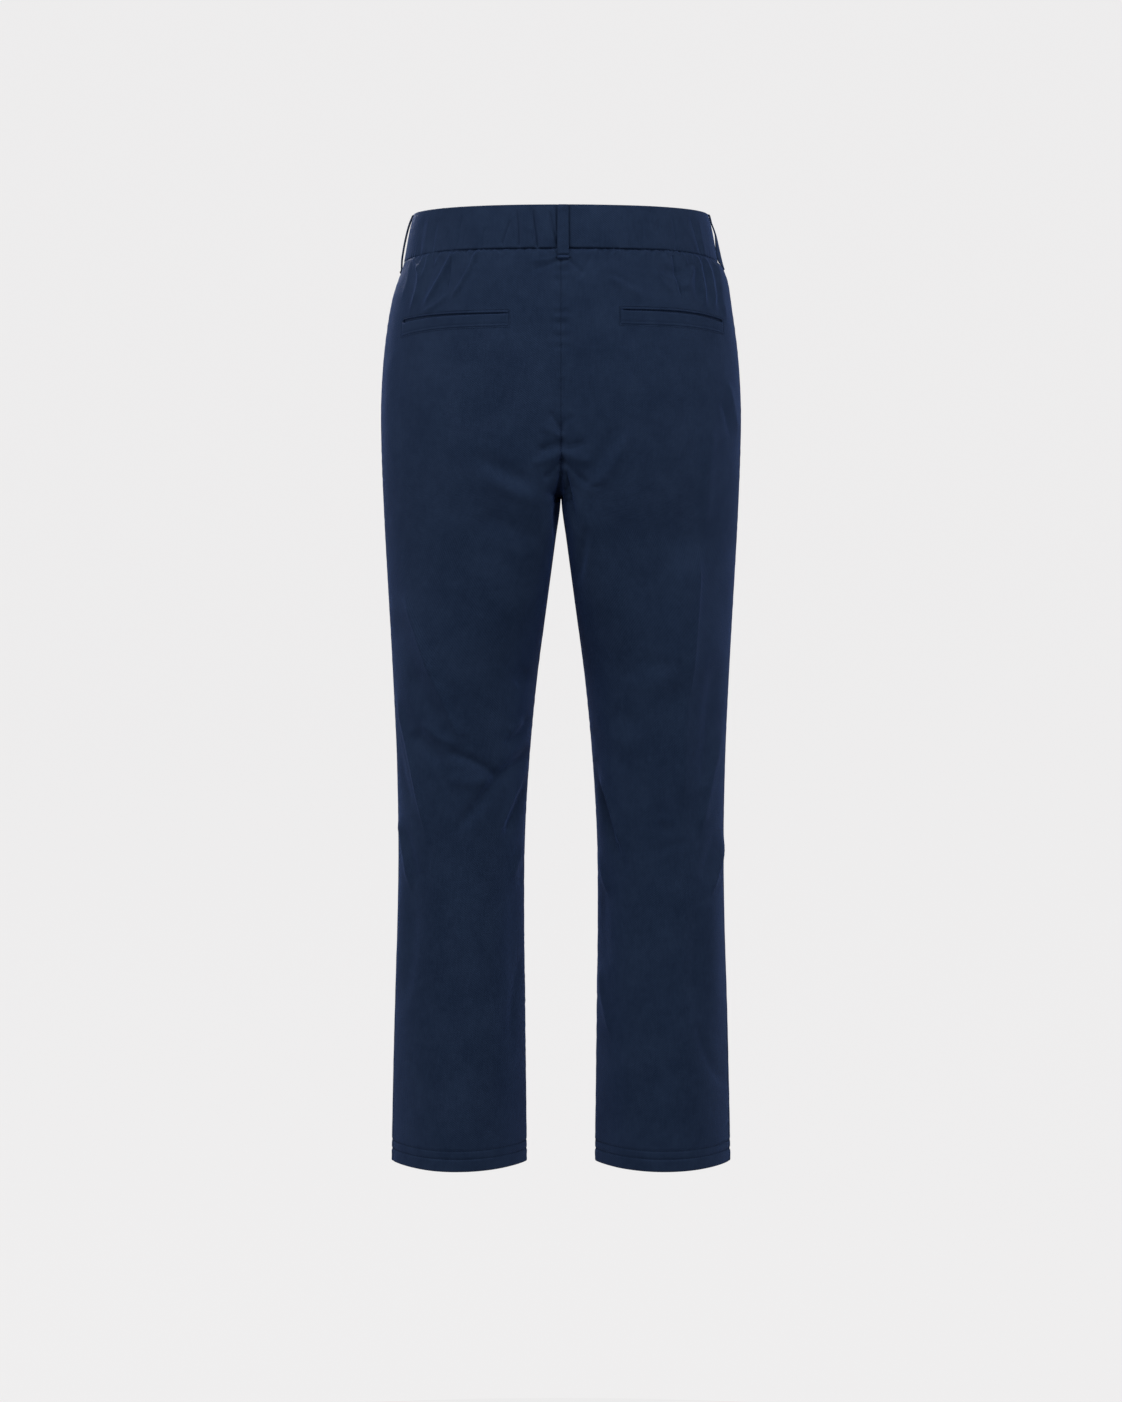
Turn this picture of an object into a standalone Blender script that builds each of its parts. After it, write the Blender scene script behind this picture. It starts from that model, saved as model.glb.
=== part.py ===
"""Dress trousers, hollow and filled out as if worn: cloth walls through rings worked out from sizes.

Metres. +Z is up, +Y is the wearer's back and +X the wearer's left. The origin is the middle of
the waist, halfway up the waistband.
"""

import math
from collections import namedtuple

import bpy
import numpy as np

# Cloth
CLOTH = 0.0012  # wall of one layer of cloth
BAND_WALL = 0.0026  # waistband: two layers with the elastic or the stiffening between them
GAP = 0.0003  # between pieces that touch

# Heights
WAIST_TOP = 0.0210
WAIST_SEAM = -0.0215  # the waistband's lower seam
FORK_TOP = -0.160  # the centre seams start to curve under here
CROTCH = -0.262
FORK_SIDE = -0.305  # the row that passes through the crotch reaches the side seam down here
LEVEL_AGAIN = -0.400  # rows are level again from here down
OVAL_FROM = -0.440  # a leg is a plain oval from here down
HEM = -0.924
HEM_TURN = 0.021  # height of the turned-up hem
FORK_ROUND = 6.0  # exponent of the curve under the seat: 2 is an ellipse, more is squarer
FORK_TIGHT = 14  # how closely the tuck under the seat keeps to the centre seam
SIDE_LAG = 2.5  # a row under the seat turns into a leg's first at its centre
UNDER_CROWD = 16  # the cloth between the legs gets few columns
INNER_CORNER = 4.6  # how much squarer a leg's inner corners are at the crotch
PINCH_FROM = -0.560
HEM_PINCH = 0.34  # from there to the hem a leg lies flatter, with sharper sides

# Seams and small pieces
SIDE_SEAM = 0.014  # the side seams lie this far behind the widest line
OVERLAP = 0.014  # the right front waistband passes the centre by this much
UNDERLAP = 0.020  # the left one runs on behind it by this much
LAP_RAMP = 0.020  # length over which the left one steps back
LAP_STEPS = 4
LOOP_WIDTH = 0.0105
LOOP_WALL = 0.0010
LOOP_END = -0.0335  # lower end of a belt loop, sewn on below the waistband
WELT_WALL = 0.0009
FLY_WIDTH = 0.036
FLY_LAP = 0.003  # the fly passes the centre by this much
FLY_END = -0.185
FLY_STEPS = 6  # across the flap, and round its lower corner
SHIELD_WIDTH = 0.030
SHIELD_END = -0.175
BUTTON_RADIUS = 0.0076
BUTTON_RIM = 0.0065  # radius of the raised rim's crest
BUTTON_DISH = 0.0047  # radius of the flat middle
BUTTON_WALL = 0.0026
BUTTON_MIDDLE = 0.0016  # thickness of the flat middle
BUTTON_EDGE = 0.0008  # how far the edge is rounded off
BUTTON_STEPS = 28

# Rings of the cloth's outer face, from the waist down. A leg's inner side is `inner` from the
# middle, and `square` fills out the corners of its oval (2 is a plain ellipse).
Section = namedtuple("Section", "height outer inner back front square")
SECTIONS = (
    Section(0.0210, 0.1470, 0.0000, 0.1050, 0.1040, 2.20),
    Section(-0.0215, 0.1565, 0.0000, 0.1130, 0.1090, 2.20),
    Section(-0.0640, 0.1685, 0.0000, 0.1210, 0.1130, 2.22),
    Section(-0.1040, 0.1750, 0.0000, 0.1265, 0.1145, 2.24),
    Section(-0.1640, 0.1795, 0.0000, 0.1310, 0.1145, 2.25),
    Section(-0.2240, 0.1790, 0.0000, 0.1310, 0.1140, 2.25),
    Section(-0.2620, 0.1775, 0.0000, 0.1275, 0.1125, 2.22),
    Section(-0.3040, 0.1755, 0.0055, 0.1200, 0.1085, 2.20),
    Section(-0.3640, 0.1720, 0.0135, 0.1050, 0.1010, 2.18),
    Section(-0.4440, 0.1675, 0.0240, 0.0915, 0.0915, 2.15),
    Section(-0.5240, 0.1640, 0.0315, 0.0830, 0.0845, 2.12),
    Section(-0.6040, 0.1625, 0.0360, 0.0765, 0.0790, 2.10),
    Section(-0.6840, 0.1635, 0.0365, 0.0740, 0.0755, 2.10),
    Section(-0.7640, 0.1660, 0.0355, 0.0725, 0.0725, 2.10),
    Section(-0.8440, 0.1680, 0.0345, 0.0705, 0.0695, 2.10),
    Section(-0.9240, 0.1695, 0.0335, 0.0690, 0.0675, 2.10),
)

# The largest folds: soft troughs (depth under zero) and ridges along a line on a panel. `across`
# runs from the centre seam or inseam (0) to the side seam (1), heights are in metres.
Fold = namedtuple("Fold", "side panel across height across_end height_end width depth")
FOLDS = (
    Fold("left", "back", 0.78, -0.488, 0.44, -0.534, 0.016, -0.0030),
    Fold("left", "back", 0.44, -0.534, 0.14, -0.512, 0.014, -0.0026),
    Fold("left", "back", 0.52, -0.590, 0.18, -0.528, 0.017, -0.0024),
    Fold("left", "back", 0.86, -0.400, 0.66, -0.560, 0.018, 0.0020),
    Fold("right", "back", 0.62, -0.498, 0.20, -0.545, 0.017, -0.0022),
    Fold("right", "back", 0.08, -0.530, 0.34, -0.600, 0.015, -0.0022),
    Fold("right", "back", 0.80, -0.330, 0.74, -0.560, 0.020, 0.0020),
    Fold("left", "front", 0.75, -0.520, 0.30, -0.500, 0.018, -0.0024),
    Fold("left", "front", 0.20, -0.610, 0.62, -0.585, 0.018, -0.0022),
    Fold("right", "front", 0.70, -0.505, 0.25, -0.535, 0.018, -0.0024),
    Fold("right", "front", 0.25, -0.600, 0.70, -0.625, 0.018, -0.0020),
    Fold("left", "back", 0.06, -0.246, 0.46, -0.300, 0.015, -0.0022),
    Fold("right", "back", 0.06, -0.246, 0.42, -0.306, 0.015, -0.0022),
)
FOLD_SPAN = 0.22  # width that a whole step of `across` stands for
FOLD_FADE = 0.12  # a fold's ends are as shallow as it is this share of its way along

# Back pocket welts, by distance along the cloth from the centre seam.
Welt = namedtuple("Welt", "side start end top bottom")
WELTS = (
    Welt("left", 0.0505, 0.1750, -0.0855, -0.1000),
    Welt("right", 0.0578, 0.1800, -0.0835, -0.0980),
)

# Belt loops, by the angle round the waist from the centre back towards the wearer's left.
Loop = namedtuple("Loop", "name angle")
LOOPS = (
    Loop("belt_loop_back", -1.3),
    Loop("belt_loop_left", 90),
    Loop("belt_loop_right", -90),
    Loop("belt_loop_front_left", 147),
    Loop("belt_loop_front_right", -147),
)
# How far a loop stands off the cloth on its way down.
LoopRow = namedtuple("LoopRow", "height lift")
LOOP_ROWS = (
    LoopRow(0.0200, 0.0005),
    LoopRow(0.0135, 0.0016),
    LoopRow(0.0030, 0.0024),
    LoopRow(-0.0110, 0.0026),
    LoopRow(-0.0210, 0.0020),
    LoopRow(-0.0285, 0.0008),
    LoopRow(LOOP_END, 0.0006),
)

# Mesh rows: steps of the curved part, heights at the side seam further down, and columns.
BODY_STEPS = 5
FORK_STEPS = 10
LEG_ROWS = (-0.335, -0.365, LEVEL_AGAIN, -0.435, -0.465, -0.490, -0.512, -0.534, -0.556)
SHIN_ROWS = (-0.580, -0.605, -0.640, -0.700, -0.770, -0.840)
BACK_COLUMNS = (6, 7, 2)  # from the centre to the welt, along it, and on to the side seam
FRONT_COLUMNS = 11
LOOP_COLUMNS = 3
ROW_CLEAR = 0.006  # an evenly spaced row this near a welt's edge is left out
OUTLINE_POINTS = 200
SHARP_EDGE = math.radians(40)

# Colour, roughness and metallic of the two materials.
NAVY = (0.014, 0.024, 0.052, 1.0)
NAVY_ROUGHNESS = 0.62
BUTTON_NAVY = (0.010, 0.016, 0.034, 1.0)
BUTTON_ROUGHNESS = 0.30
METALLIC = 0.0

SIDES = {"left": 1.0, "right": -1.0}


# --- rings ---------------------------------------------------------------------------------

# A row of the cloth's grid. Under the seat it is lower at the side seam than at the centre, and
# its blend is 0 where the ring goes round the body and 1 where it goes round a leg.
Row = namedtuple("Row", "side centre side_blend centre_blend")


def level(height, blend=0.0):
    return Row(height, height, blend, blend)


def eased(t):
    t = np.clip(t, 0.0, 1.0)
    return t * t * (3 - 2 * t)


def sections_at(heights):
    """The rings' sizes at some heights, on smooth curves through the table's rows."""
    knots = np.array([row.height for row in SECTIONS])[::-1]
    sizes = np.array([row[1:] for row in SECTIONS])[::-1]
    slopes = np.gradient(sizes, knots, axis=0)
    low = np.clip(np.searchsorted(knots, heights) - 1, 0, len(knots) - 2)
    span = (knots[low + 1] - knots[low])[:, None]
    t = (heights - knots[low])[:, None] / span
    values = (
        (2 * t**3 - 3 * t**2 + 1) * sizes[low]
        + (t**3 - 2 * t**2 + t) * span * slopes[low]
        + (3 * t**2 - 2 * t**3) * sizes[low + 1]
        + (t**3 - t**2) * span * slopes[low + 1]
    )
    values[:, 1] = np.where(heights < CROTCH, np.maximum(values[:, 1], 0.0), 0.0)
    return Section(heights[:, None], *(values[:, [column]] for column in range(values.shape[1])))


def filled(wave, square):
    """A sine or cosine bent so that the oval's corners fill out."""
    return np.sign(wave) * np.abs(wave) ** (2 / square)


def body_outline(size, angles):
    """Round the seat: 0 is the centre back, a quarter turn the widest line, half the front."""
    cosine = filled(np.cos(angles), size.square)
    depth = np.where(cosine > 0, size.back, size.front)
    return np.stack([size.outer * filled(np.sin(angles), size.square), depth * cosine], axis=-1)


def leg_outline(size, angles):
    """Round one leg: 0 is the inseam, a quarter turn the back, half the widest line.

    At the crotch its outer side is still the body's. Further down it is a plain oval.
    """
    middle = (size.outer + size.inner) / 2
    reach = (size.outer - size.inner) / 2
    across = middle - reach * filled(np.cos(angles), size.square)
    centre = middle * eased((CROTCH - size.height) / (CROTCH - OVAL_FROM))
    out = np.clip((across - centre) / (size.outer - centre), 0.0, 1.0)
    within = np.clip((middle - across) / reach, 0.0, 1.0)
    corner = size.square + INNER_CORNER * eased((size.height - OVAL_FROM) / (CROTCH - OVAL_FROM))
    pinch = HEM_PINCH * eased((PINCH_FROM - size.height) / (PINCH_FROM - HEM))
    rounding = (1 - out**size.square) ** (1 / size.square + pinch)
    rounding = rounding * (1 - within**corner) ** (1 / corner + pinch)
    backward = np.sin(angles)
    depth = np.where(backward > 0, size.back, size.front)
    return np.stack([across, np.sign(backward) * depth * rounding], axis=-1)


def travelled(outlines):
    """Distance along each outline at each of its points."""
    steps = np.linalg.norm(np.diff(outlines, axis=-2), axis=-1)
    start = np.zeros(steps.shape[:-1] + (1,))
    return np.concatenate([start, np.cumsum(steps, axis=-1)], axis=-1)


def points_at(outlines, distances):
    """One point on each outline, at its own distance along it."""
    reached = travelled(outlines)
    low = np.clip((reached < distances[:, None]).sum(axis=1) - 1, 0, reached.shape[1] - 2)
    rows = np.arange(len(outlines))
    span = reached[rows, low + 1] - reached[rows, low]
    t = ((distances - reached[rows, low]) / span)[:, None]
    return (1 - t) * outlines[rows, low] + t * outlines[rows, low + 1]


def panel_row(panel, row, places):
    """Points of one row of the left back or front panel, from its inner to its side seam."""
    heights = row.side + (row.centre - row.side) * (1 - places) ** 2
    tuck = (1 - places) ** FORK_TIGHT
    blend = (row.side_blend + (row.centre_blend - row.side_blend) * tuck)[:, None]
    size = sections_at(heights)
    tilt = (SIDE_SEAM / size.back) ** (size.square / 2)
    share = np.linspace(0.0, 1.0, OUTLINE_POINTS)[None, :]
    body_angles = share * np.arccos(tilt)
    leg_angles = share * (math.pi - np.arcsin(tilt))
    if panel == "front":
        body_angles = math.pi - share * (math.pi - np.arccos(tilt))
        leg_angles = -share * (math.pi + np.arcsin(tilt))
    body = body_outline(size, body_angles)
    leg = leg_outline(size, leg_angles)
    body_length = travelled(body)[:, -1]
    leg_length = travelled(leg)[:, -1]
    under = np.clip(1 - body_length / leg_length, 0.0, 1.0)
    under *= 1 - eased((CROTCH - heights) / (CROTCH - OVAL_FROM))
    left_over = 1 - places
    crowded = 1 - ((1 - under) * left_over + under * left_over**UNDER_CROWD)
    body = points_at(body, places * body_length)
    leg = points_at(leg, crowded * leg_length)
    return np.column_stack([(1 - blend) * body + blend * leg, heights])


def fold_height(side, panel, places, heights):
    """How far the folds move each point of a row out of the panel, or in."""
    moved = np.zeros(len(places))
    for fold in FOLDS:
        if (fold.side, fold.panel) != (side, panel):
            continue
        start = np.array([fold.across * FOLD_SPAN, fold.height])
        run = np.array([fold.across_end * FOLD_SPAN, fold.height_end]) - start
        spots = np.column_stack([places * FOLD_SPAN, heights]) - start
        along = np.clip(spots @ run / (run @ run), 0.0, 1.0)
        off = np.linalg.norm(spots - along[:, None] * run, axis=1)
        fade = np.sin(math.pi * np.clip(along, FOLD_FADE, 1 - FOLD_FADE))
        moved += fold.depth * fade * np.exp(-((off / fold.width) ** 2))
    return moved


def half_ring(side, rows, back_places, front_places):
    """Points and outward directions of one half, from the centre back round to the front."""
    lines = []
    folds = []
    for row in rows:
        back = panel_row("back", row, back_places)
        front = panel_row("front", row, front_places)
        back_folds = fold_height(side, "back", back_places, back[:, 2])
        front_folds = fold_height(side, "front", front_places, front[:, 2])
        lines.append(np.concatenate([back, front[-2::-1]]))
        folds.append(np.concatenate([back_folds, front_folds[-2::-1]]))
    points = np.array(lines)
    down = np.gradient(points, axis=0)
    across = np.gradient(points, axis=1)
    for number, row in enumerate(rows):
        if row.centre_blend < 1:
            across[number, 0] = (1.0, 0.0, 0.0)
            across[number, -1] = (-1.0, 0.0, 0.0)
        else:
            across[number, 0] = across[number, -1] = points[number, 1] - points[number, -2]
            down[number, 0] = down[number, -1] = (down[number, 0] + down[number, -1]) / 2
    normals = np.cross(across, down)
    normals /= np.linalg.norm(normals, axis=2, keepdims=True)
    points += np.array(folds)[:, :, None] * normals
    mirror = np.array([SIDES[side], 1.0, 1.0])
    return points * mirror, normals * mirror


def drawn_in(points, side):
    """A panel's grid with its two long edges half a gap back from their seams."""
    trimmed = points.copy()
    for edge, inner in ((0, 1), (-1, -2)):
        step = points[:, inner] - points[:, edge]
        step /= np.linalg.norm(step, axis=1, keepdims=True)
        trimmed[:, edge] += step * GAP / 2
    away = SIDES[side] * np.maximum(SIDES[side] * trimmed[:, :, 0], GAP / 2)
    trimmed[:, :, 0] = away
    return trimmed


# --- solids --------------------------------------------------------------------------------


def new_material(name, colour, roughness):
    material = bpy.data.materials.new(name)
    material.use_nodes = True
    shader = material.node_tree.nodes["Principled BSDF"]
    shader.inputs["Base Color"].default_value = colour
    shader.inputs["Roughness"].default_value = roughness
    shader.inputs["Metallic"].default_value = METALLIC
    material.diffuse_color = colour
    return material


def wall(name, points, normals, lift, thickness, closed=False):
    """A cloth wall: the grid moved out by `lift`, and again `thickness` inside that."""
    outside = points + normals * lift
    inside = points + normals * (lift - thickness)
    rows, columns = points.shape[:2]
    count = rows * columns
    steps = columns if closed else columns - 1
    faces = []
    for row in range(rows - 1):
        for column in range(steps):
            after = (column + 1) % columns
            here, right = row * columns + column, row * columns + after
            below, across = here + columns, right + columns
            faces.append((here, below, across, right))
            faces.append((count + here, count + right, count + across, count + below))
    last = (rows - 1) * columns
    for column in range(steps):
        after = (column + 1) % columns
        faces.append((column, after, count + after, count + column))
        bottom = (last + after, last + column, count + last + column, count + last + after)
        faces.append(bottom)
    if not closed:
        for row in range(rows - 1):
            first, below = row * columns, (row + 1) * columns
            faces.append((below, first, count + first, count + below))
            end, end_below = first + columns - 1, below + columns - 1
            faces.append((end, end_below, count + end_below, count + end))
    mesh = bpy.data.meshes.new(name)
    vertices = np.concatenate([outside.reshape(-1, 3), inside.reshape(-1, 3)])
    mesh.from_pydata(vertices.tolist(), [], faces)
    mesh.validate()
    piece = bpy.data.objects.new(name, mesh)
    face_outward(mesh)
    mesh.shade_smooth()
    mesh.set_sharp_from_angle(angle=SHARP_EDGE)
    mesh.materials.append(NAVY_CLOTH)
    TROUSERS.objects.link(piece)
    return piece


def face_outward(mesh):
    """Turns the faces round where the grid was mirrored."""
    corners = np.array([vertex.co for vertex in mesh.vertices])
    mesh.calc_loop_triangles()
    triangles = np.array([triangle.vertices for triangle in mesh.loop_triangles])
    if np.linalg.det(corners[triangles]).sum() < 0:
        mesh.flip_normals()


def panel_rows():
    """The panels' rows, from the waist seam to the hem."""
    top = WAIST_SEAM - GAP / 2
    spaced = np.linspace(top, FORK_TOP, BODY_STEPS + 1)
    welt_rows = [height for welt in WELTS for height in (welt.top, welt.bottom)]
    clear = [height for height in spaced if np.abs(height - np.array(welt_rows)).min() > ROW_CLEAR]
    rows = [level(height) for height in sorted(clear + welt_rows, reverse=True)]
    turns = np.linspace(0.0, math.pi / 2, OUTLINE_POINTS)
    down = np.sin(turns) ** (2 / FORK_ROUND)
    inward = 1 - np.cos(turns) ** (2 / FORK_ROUND)
    inward[-1] = 1.0
    depth = float(sections_at(np.array([CROTCH])).back[0, 0])
    reached = travelled(np.column_stack([down * (FORK_TOP - CROTCH), inward * depth]))
    for t in np.linspace(0.0, 1.0, FORK_STEPS + 1)[1:]:
        side = FORK_TOP + (FORK_SIDE - FORK_TOP) * t
        centre = FORK_TOP + (CROTCH - FORK_TOP) * float(np.interp(t * reached[-1], reached, down))
        centre_blend = float(np.interp(t * reached[-1], reached, inward))
        rows.append(Row(side, centre, float(eased(t)) ** SIDE_LAG, centre_blend))
    slant = (LEVEL_AGAIN - CROTCH) / (LEVEL_AGAIN - FORK_SIDE)
    for height in LEG_ROWS + SHIN_ROWS + (HEM + HEM_TURN, HEM):
        centre = min(LEVEL_AGAIN + (height - LEVEL_AGAIN) * slant, CROTCH)
        rows.append(Row(height, centre if height > LEVEL_AGAIN else height, 1.0, 1.0))
    return rows


def row_at(rows, height):
    return [row.side for row in rows].index(height)


def back_places(welt):
    """Columns of a back panel, with one at each end of its welt."""
    fine = np.linspace(0, 1, OUTLINE_POINTS)
    width = travelled(panel_row("back", level(welt.top), fine))[-1]
    ends = (0.0, welt.start / width, welt.end / width, 1.0)
    stretches = [
        np.linspace(ends[part], ends[part + 1], steps + 1)[1:]
        for part, steps in enumerate(BACK_COLUMNS)
    ]
    return np.concatenate([[0.0], *stretches])


def build_panels():
    """The four leg panels. Returns each one's grid, for the pieces that lie on it."""
    rows = panel_rows()
    grids = {}
    for welt in WELTS:
        side = welt.side
        columns = back_places(welt)
        points, normals = half_ring(side, rows, columns, np.linspace(0, 1, FRONT_COLUMNS + 1))
        seam = len(columns) - 1
        for panel, part in (("back", slice(0, seam + 1)), ("front", slice(seam, None))):
            grid = drawn_in(points[:, part], side)
            wall(f"{panel}_{side}", grid, normals[:, part], 0.0, CLOTH)
            grids[panel, side] = grid, normals[:, part]
        grids["ring", side] = points, normals
    return rows, grids


def build_hems(rows, grids):
    """The turned-up hem: a second layer inside the bottom of each leg."""
    first = row_at(rows, HEM + HEM_TURN)
    for side in SIDES:
        points, normals = grids["ring", side]
        ring, away = points[first:, :-1], normals[first:, :-1]
        wall(f"hem_{side}", ring, away, -CLOTH - GAP, CLOTH, closed=True)


def build_welts(rows, grids):
    """The single welts of the back pockets, lying on the back panels."""
    for welt in WELTS:
        points, normals = grids["back", welt.side]
        down = slice(row_at(rows, welt.top), row_at(rows, welt.bottom) + 1)
        across = slice(BACK_COLUMNS[0], BACK_COLUMNS[0] + BACK_COLUMNS[1] + 1)
        lift = GAP + WELT_WALL
        wall(f"welt_{welt.side}", points[down, across], normals[down, across], lift, WELT_WALL)


def centre_strip(grids, row, distances):
    """Points and directions on the front, at distances from the centre to the wearer's left.

    A row such as 4.5 lies halfway between the panels' rows 4 and 5.
    """
    above, below = int(row), math.ceil(row)
    places, ways = [], []
    for distance in distances:
        points, normals = grids["front", "left" if distance > 0 else "right"]
        line = (1 - row + above) * points[above][::-1] + (row - above) * points[below][::-1]
        reached = travelled(line)
        places.append([np.interp(abs(distance), reached, axis) for axis in line.T])
        ways.append([np.interp(abs(distance), reached, axis) for axis in normals[above][::-1].T])
    return places, ways


def build_fly(rows, grids):
    """The fly: a J-shaped flap over the closed opening, and the shield behind it."""
    centres = [row.centre for row in rows]
    numbers = np.arange(len(rows))
    pieces = (
        ("fly_flap", FLY_WIDTH, FLY_END, 2 * GAP + CLOTH),
        ("fly_shield", SHIELD_WIDTH, SHIELD_END, -CLOTH - GAP),
    )
    for name, width, end, lift in pieces:
        turns = np.linspace(math.pi / 2, 0.0, FLY_STEPS)
        heights = [height for height in centres if height > end] + list(end + width * np.sin(turns))
        points, normals = [], []
        for height in sorted(set(heights), reverse=True):
            drop = np.clip((height - end) / width, 0.0, 1.0)
            reach = max(width * math.sqrt(1 - (1 - drop) ** 2), FLY_LAP)
            row = float(np.interp(-height, -np.array(centres), numbers))
            places, ways = centre_strip(grids, row, np.linspace(FLY_LAP, -reach, FLY_STEPS))
            points.append(places)
            normals.append(ways)
        wall(name, np.array(points), np.array(normals), lift, CLOTH)


def band_grid(side, panel):
    """The waistband's rows over one panel, from the centre to the side seam."""
    rows = [level(height) for height in (WAIST_TOP, 0.0, WAIST_SEAM + GAP / 2)]
    columns = np.linspace(0, 1, FRONT_COLUMNS + 1)
    points, normals = half_ring(side, rows, columns, columns)
    if panel == "back":
        return points[:, : len(columns)], normals[:, : len(columns)]
    return points[:, len(columns) - 1 :][:, ::-1], normals[:, len(columns) - 1 :][:, ::-1]


def along_band(distances):
    """Front waistband points, by distance along its seam from the centre to the wearer's left."""
    points, normals = [], []
    for distance in distances:
        grid, away = band_grid("left" if distance > 0 else "right", "front")
        seam = travelled(grid[-1])[-1]
        column, way = [], []
        for line, line_ways in zip(grid, away):
            reached = travelled(line)
            far = abs(distance) * reached[-1] / seam
            column.append([np.interp(far, reached, axis) for axis in line.T])
            way.append([np.interp(far, reached, axis) for axis in line_ways.T])
        points.append(column)
        normals.append(way)
    points, normals = np.array(points), np.array(normals)
    normals /= np.linalg.norm(normals, axis=2, keepdims=True)
    return points.transpose(1, 0, 2), normals.transpose(1, 0, 2)


def build_waistband():
    """The elastic back and the two front halves, which lap at the centre."""
    (left, left_ways), (right, right_ways) = band_grid("left", "back"), band_grid("right", "back")
    points = np.concatenate([right[:, ::-1], left[:, 1:]], axis=1)
    ways = np.concatenate([right_ways[:, ::-1], left_ways[:, 1:]], axis=1)
    for edge, inner in ((0, 1), (-1, -2)):
        step = points[:, inner] - points[:, edge]
        points[:, edge] += step / np.linalg.norm(step, axis=1, keepdims=True) * GAP / 2
    wall("waistband_back", points, ways, 0.0, BAND_WALL)

    width = travelled(band_grid("left", "front")[0][-1])[-1] - GAP / 2
    lap = np.linspace(OVERLAP - UNDERLAP, OVERLAP, LAP_STEPS)
    outer = np.linspace(OVERLAP + LAP_RAMP, width, FRONT_COLUMNS)
    points, ways = along_band(np.concatenate([-outer[::-1], lap]))
    wall("waistband_front_right", points, ways, 0.0, BAND_WALL)

    ramp = np.linspace(OVERLAP, OVERLAP + LAP_RAMP, LAP_STEPS + 2)[1:-1]
    distances = np.concatenate([lap, ramp, outer])
    points, ways = along_band(distances)
    step_back = (BAND_WALL + GAP) * eased((OVERLAP + LAP_RAMP - distances) / LAP_RAMP)
    points -= ways * step_back[None, :, None]
    wall("waistband_front_left", points, ways, 0.0, BAND_WALL)


def build_loops():
    """Belt loops: strips that stand off the waistband and are sewn down at both ends."""
    heights = np.array([row.height for row in LOOP_ROWS])
    lifts = np.array([row.lift for row in LOOP_ROWS])[:, None, None]
    angles = np.linspace(0.0, math.pi, 4 * OUTLINE_POINTS)
    outlines = body_outline(sections_at(heights), angles[None, :])
    for loop in LOOPS:
        turn = -1.0 if loop.angle < 0 else 1.0
        start = np.argmin(np.abs(angles - abs(math.radians(loop.angle))))
        middle = travelled(outlines)[:, start]
        columns = []
        for offset in np.linspace(-LOOP_WIDTH / 2, LOOP_WIDTH / 2, LOOP_COLUMNS):
            spots = points_at(outlines, np.abs(middle + offset))
            sides = turn * np.where(middle + offset < 0, -1.0, 1.0)
            columns.append(np.column_stack([sides * spots[:, 0], spots[:, 1], heights]))
        points = np.stack(columns, axis=1)
        normals = np.cross(np.gradient(points, axis=1), np.gradient(points, axis=0))
        normals *= np.sign((normals * points * (1, 1, 0)).sum(axis=2, keepdims=True))
        normals /= np.linalg.norm(normals, axis=2, keepdims=True)
        wall(loop.name, points + normals * lifts, normals, LOOP_WALL, LOOP_WALL)


def build_button():
    """The button on the front waistband: a dished disc turned from its profile."""
    fronts = sections_at(np.array([BUTTON_RADIUS, 0.0, -BUTTON_RADIUS])).front[:, 0]
    slope = math.atan2(fronts[2] - fronts[0], 2 * BUTTON_RADIUS)
    profile = (
        (0.0, BUTTON_MIDDLE),
        (BUTTON_DISH, BUTTON_MIDDLE),
        (BUTTON_RIM, BUTTON_WALL),
        (BUTTON_RADIUS, BUTTON_WALL - BUTTON_EDGE),
        (BUTTON_RADIUS, BUTTON_EDGE),
        (BUTTON_RIM, 0.0),
        (0.0, 0.0),
    )
    mesh = bpy.data.meshes.new("waist_button")
    corners = [(radius, 0.0, height) for radius, height in profile]
    mesh.from_pydata(corners, [(i, i + 1) for i in range(len(corners) - 1)], [])
    button = bpy.data.objects.new("waist_button", mesh)
    turning = button.modifiers.new("turn", "SCREW")
    turning.steps = turning.render_steps = BUTTON_STEPS
    turning.use_merge_vertices = True
    turning.merge_threshold = 0.00001
    turning.use_smooth_shade = False
    mesh.materials.append(BUTTON_PLASTIC)
    button.rotation_euler = (math.pi / 2 - slope, 0.0, 0.0)
    button.location = (0.0, -fronts[1] - 2 * GAP, 0.0)
    TROUSERS.objects.link(button)


for leftover in list(bpy.data.objects):
    bpy.data.objects.remove(leftover)

TROUSERS = bpy.data.collections.new("dress_trousers")
bpy.context.scene.collection.children.link(TROUSERS)
NAVY_CLOTH = new_material("navy_cloth", NAVY, NAVY_ROUGHNESS)
BUTTON_PLASTIC = new_material("button_plastic", BUTTON_NAVY, BUTTON_ROUGHNESS)

cloth_rows, panel_grids = build_panels()
build_hems(cloth_rows, panel_grids)
build_welts(cloth_rows, panel_grids)
build_fly(cloth_rows, panel_grids)
build_waistband()
build_loops()
build_button()
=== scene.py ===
# %% [markdown]
# # Dress trousers, seen from the back
#
# Navy dress trousers keep the round, hollow form that they have on a wearer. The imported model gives
# their cut: leg panels, waistband, loops, pocket welts, hems, fly and button. This script lays fine
# cloth on that cut and adds what only shows close up: folds, gathers, seams, stitches and weave.
#
# Frame: metres, +Z up, +Y towards the wearer's back, +X towards the wearer's left. The camera looks
# at the back, so the wearer's left leg is on the left of the picture.

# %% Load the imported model
import math
from collections import namedtuple

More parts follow.
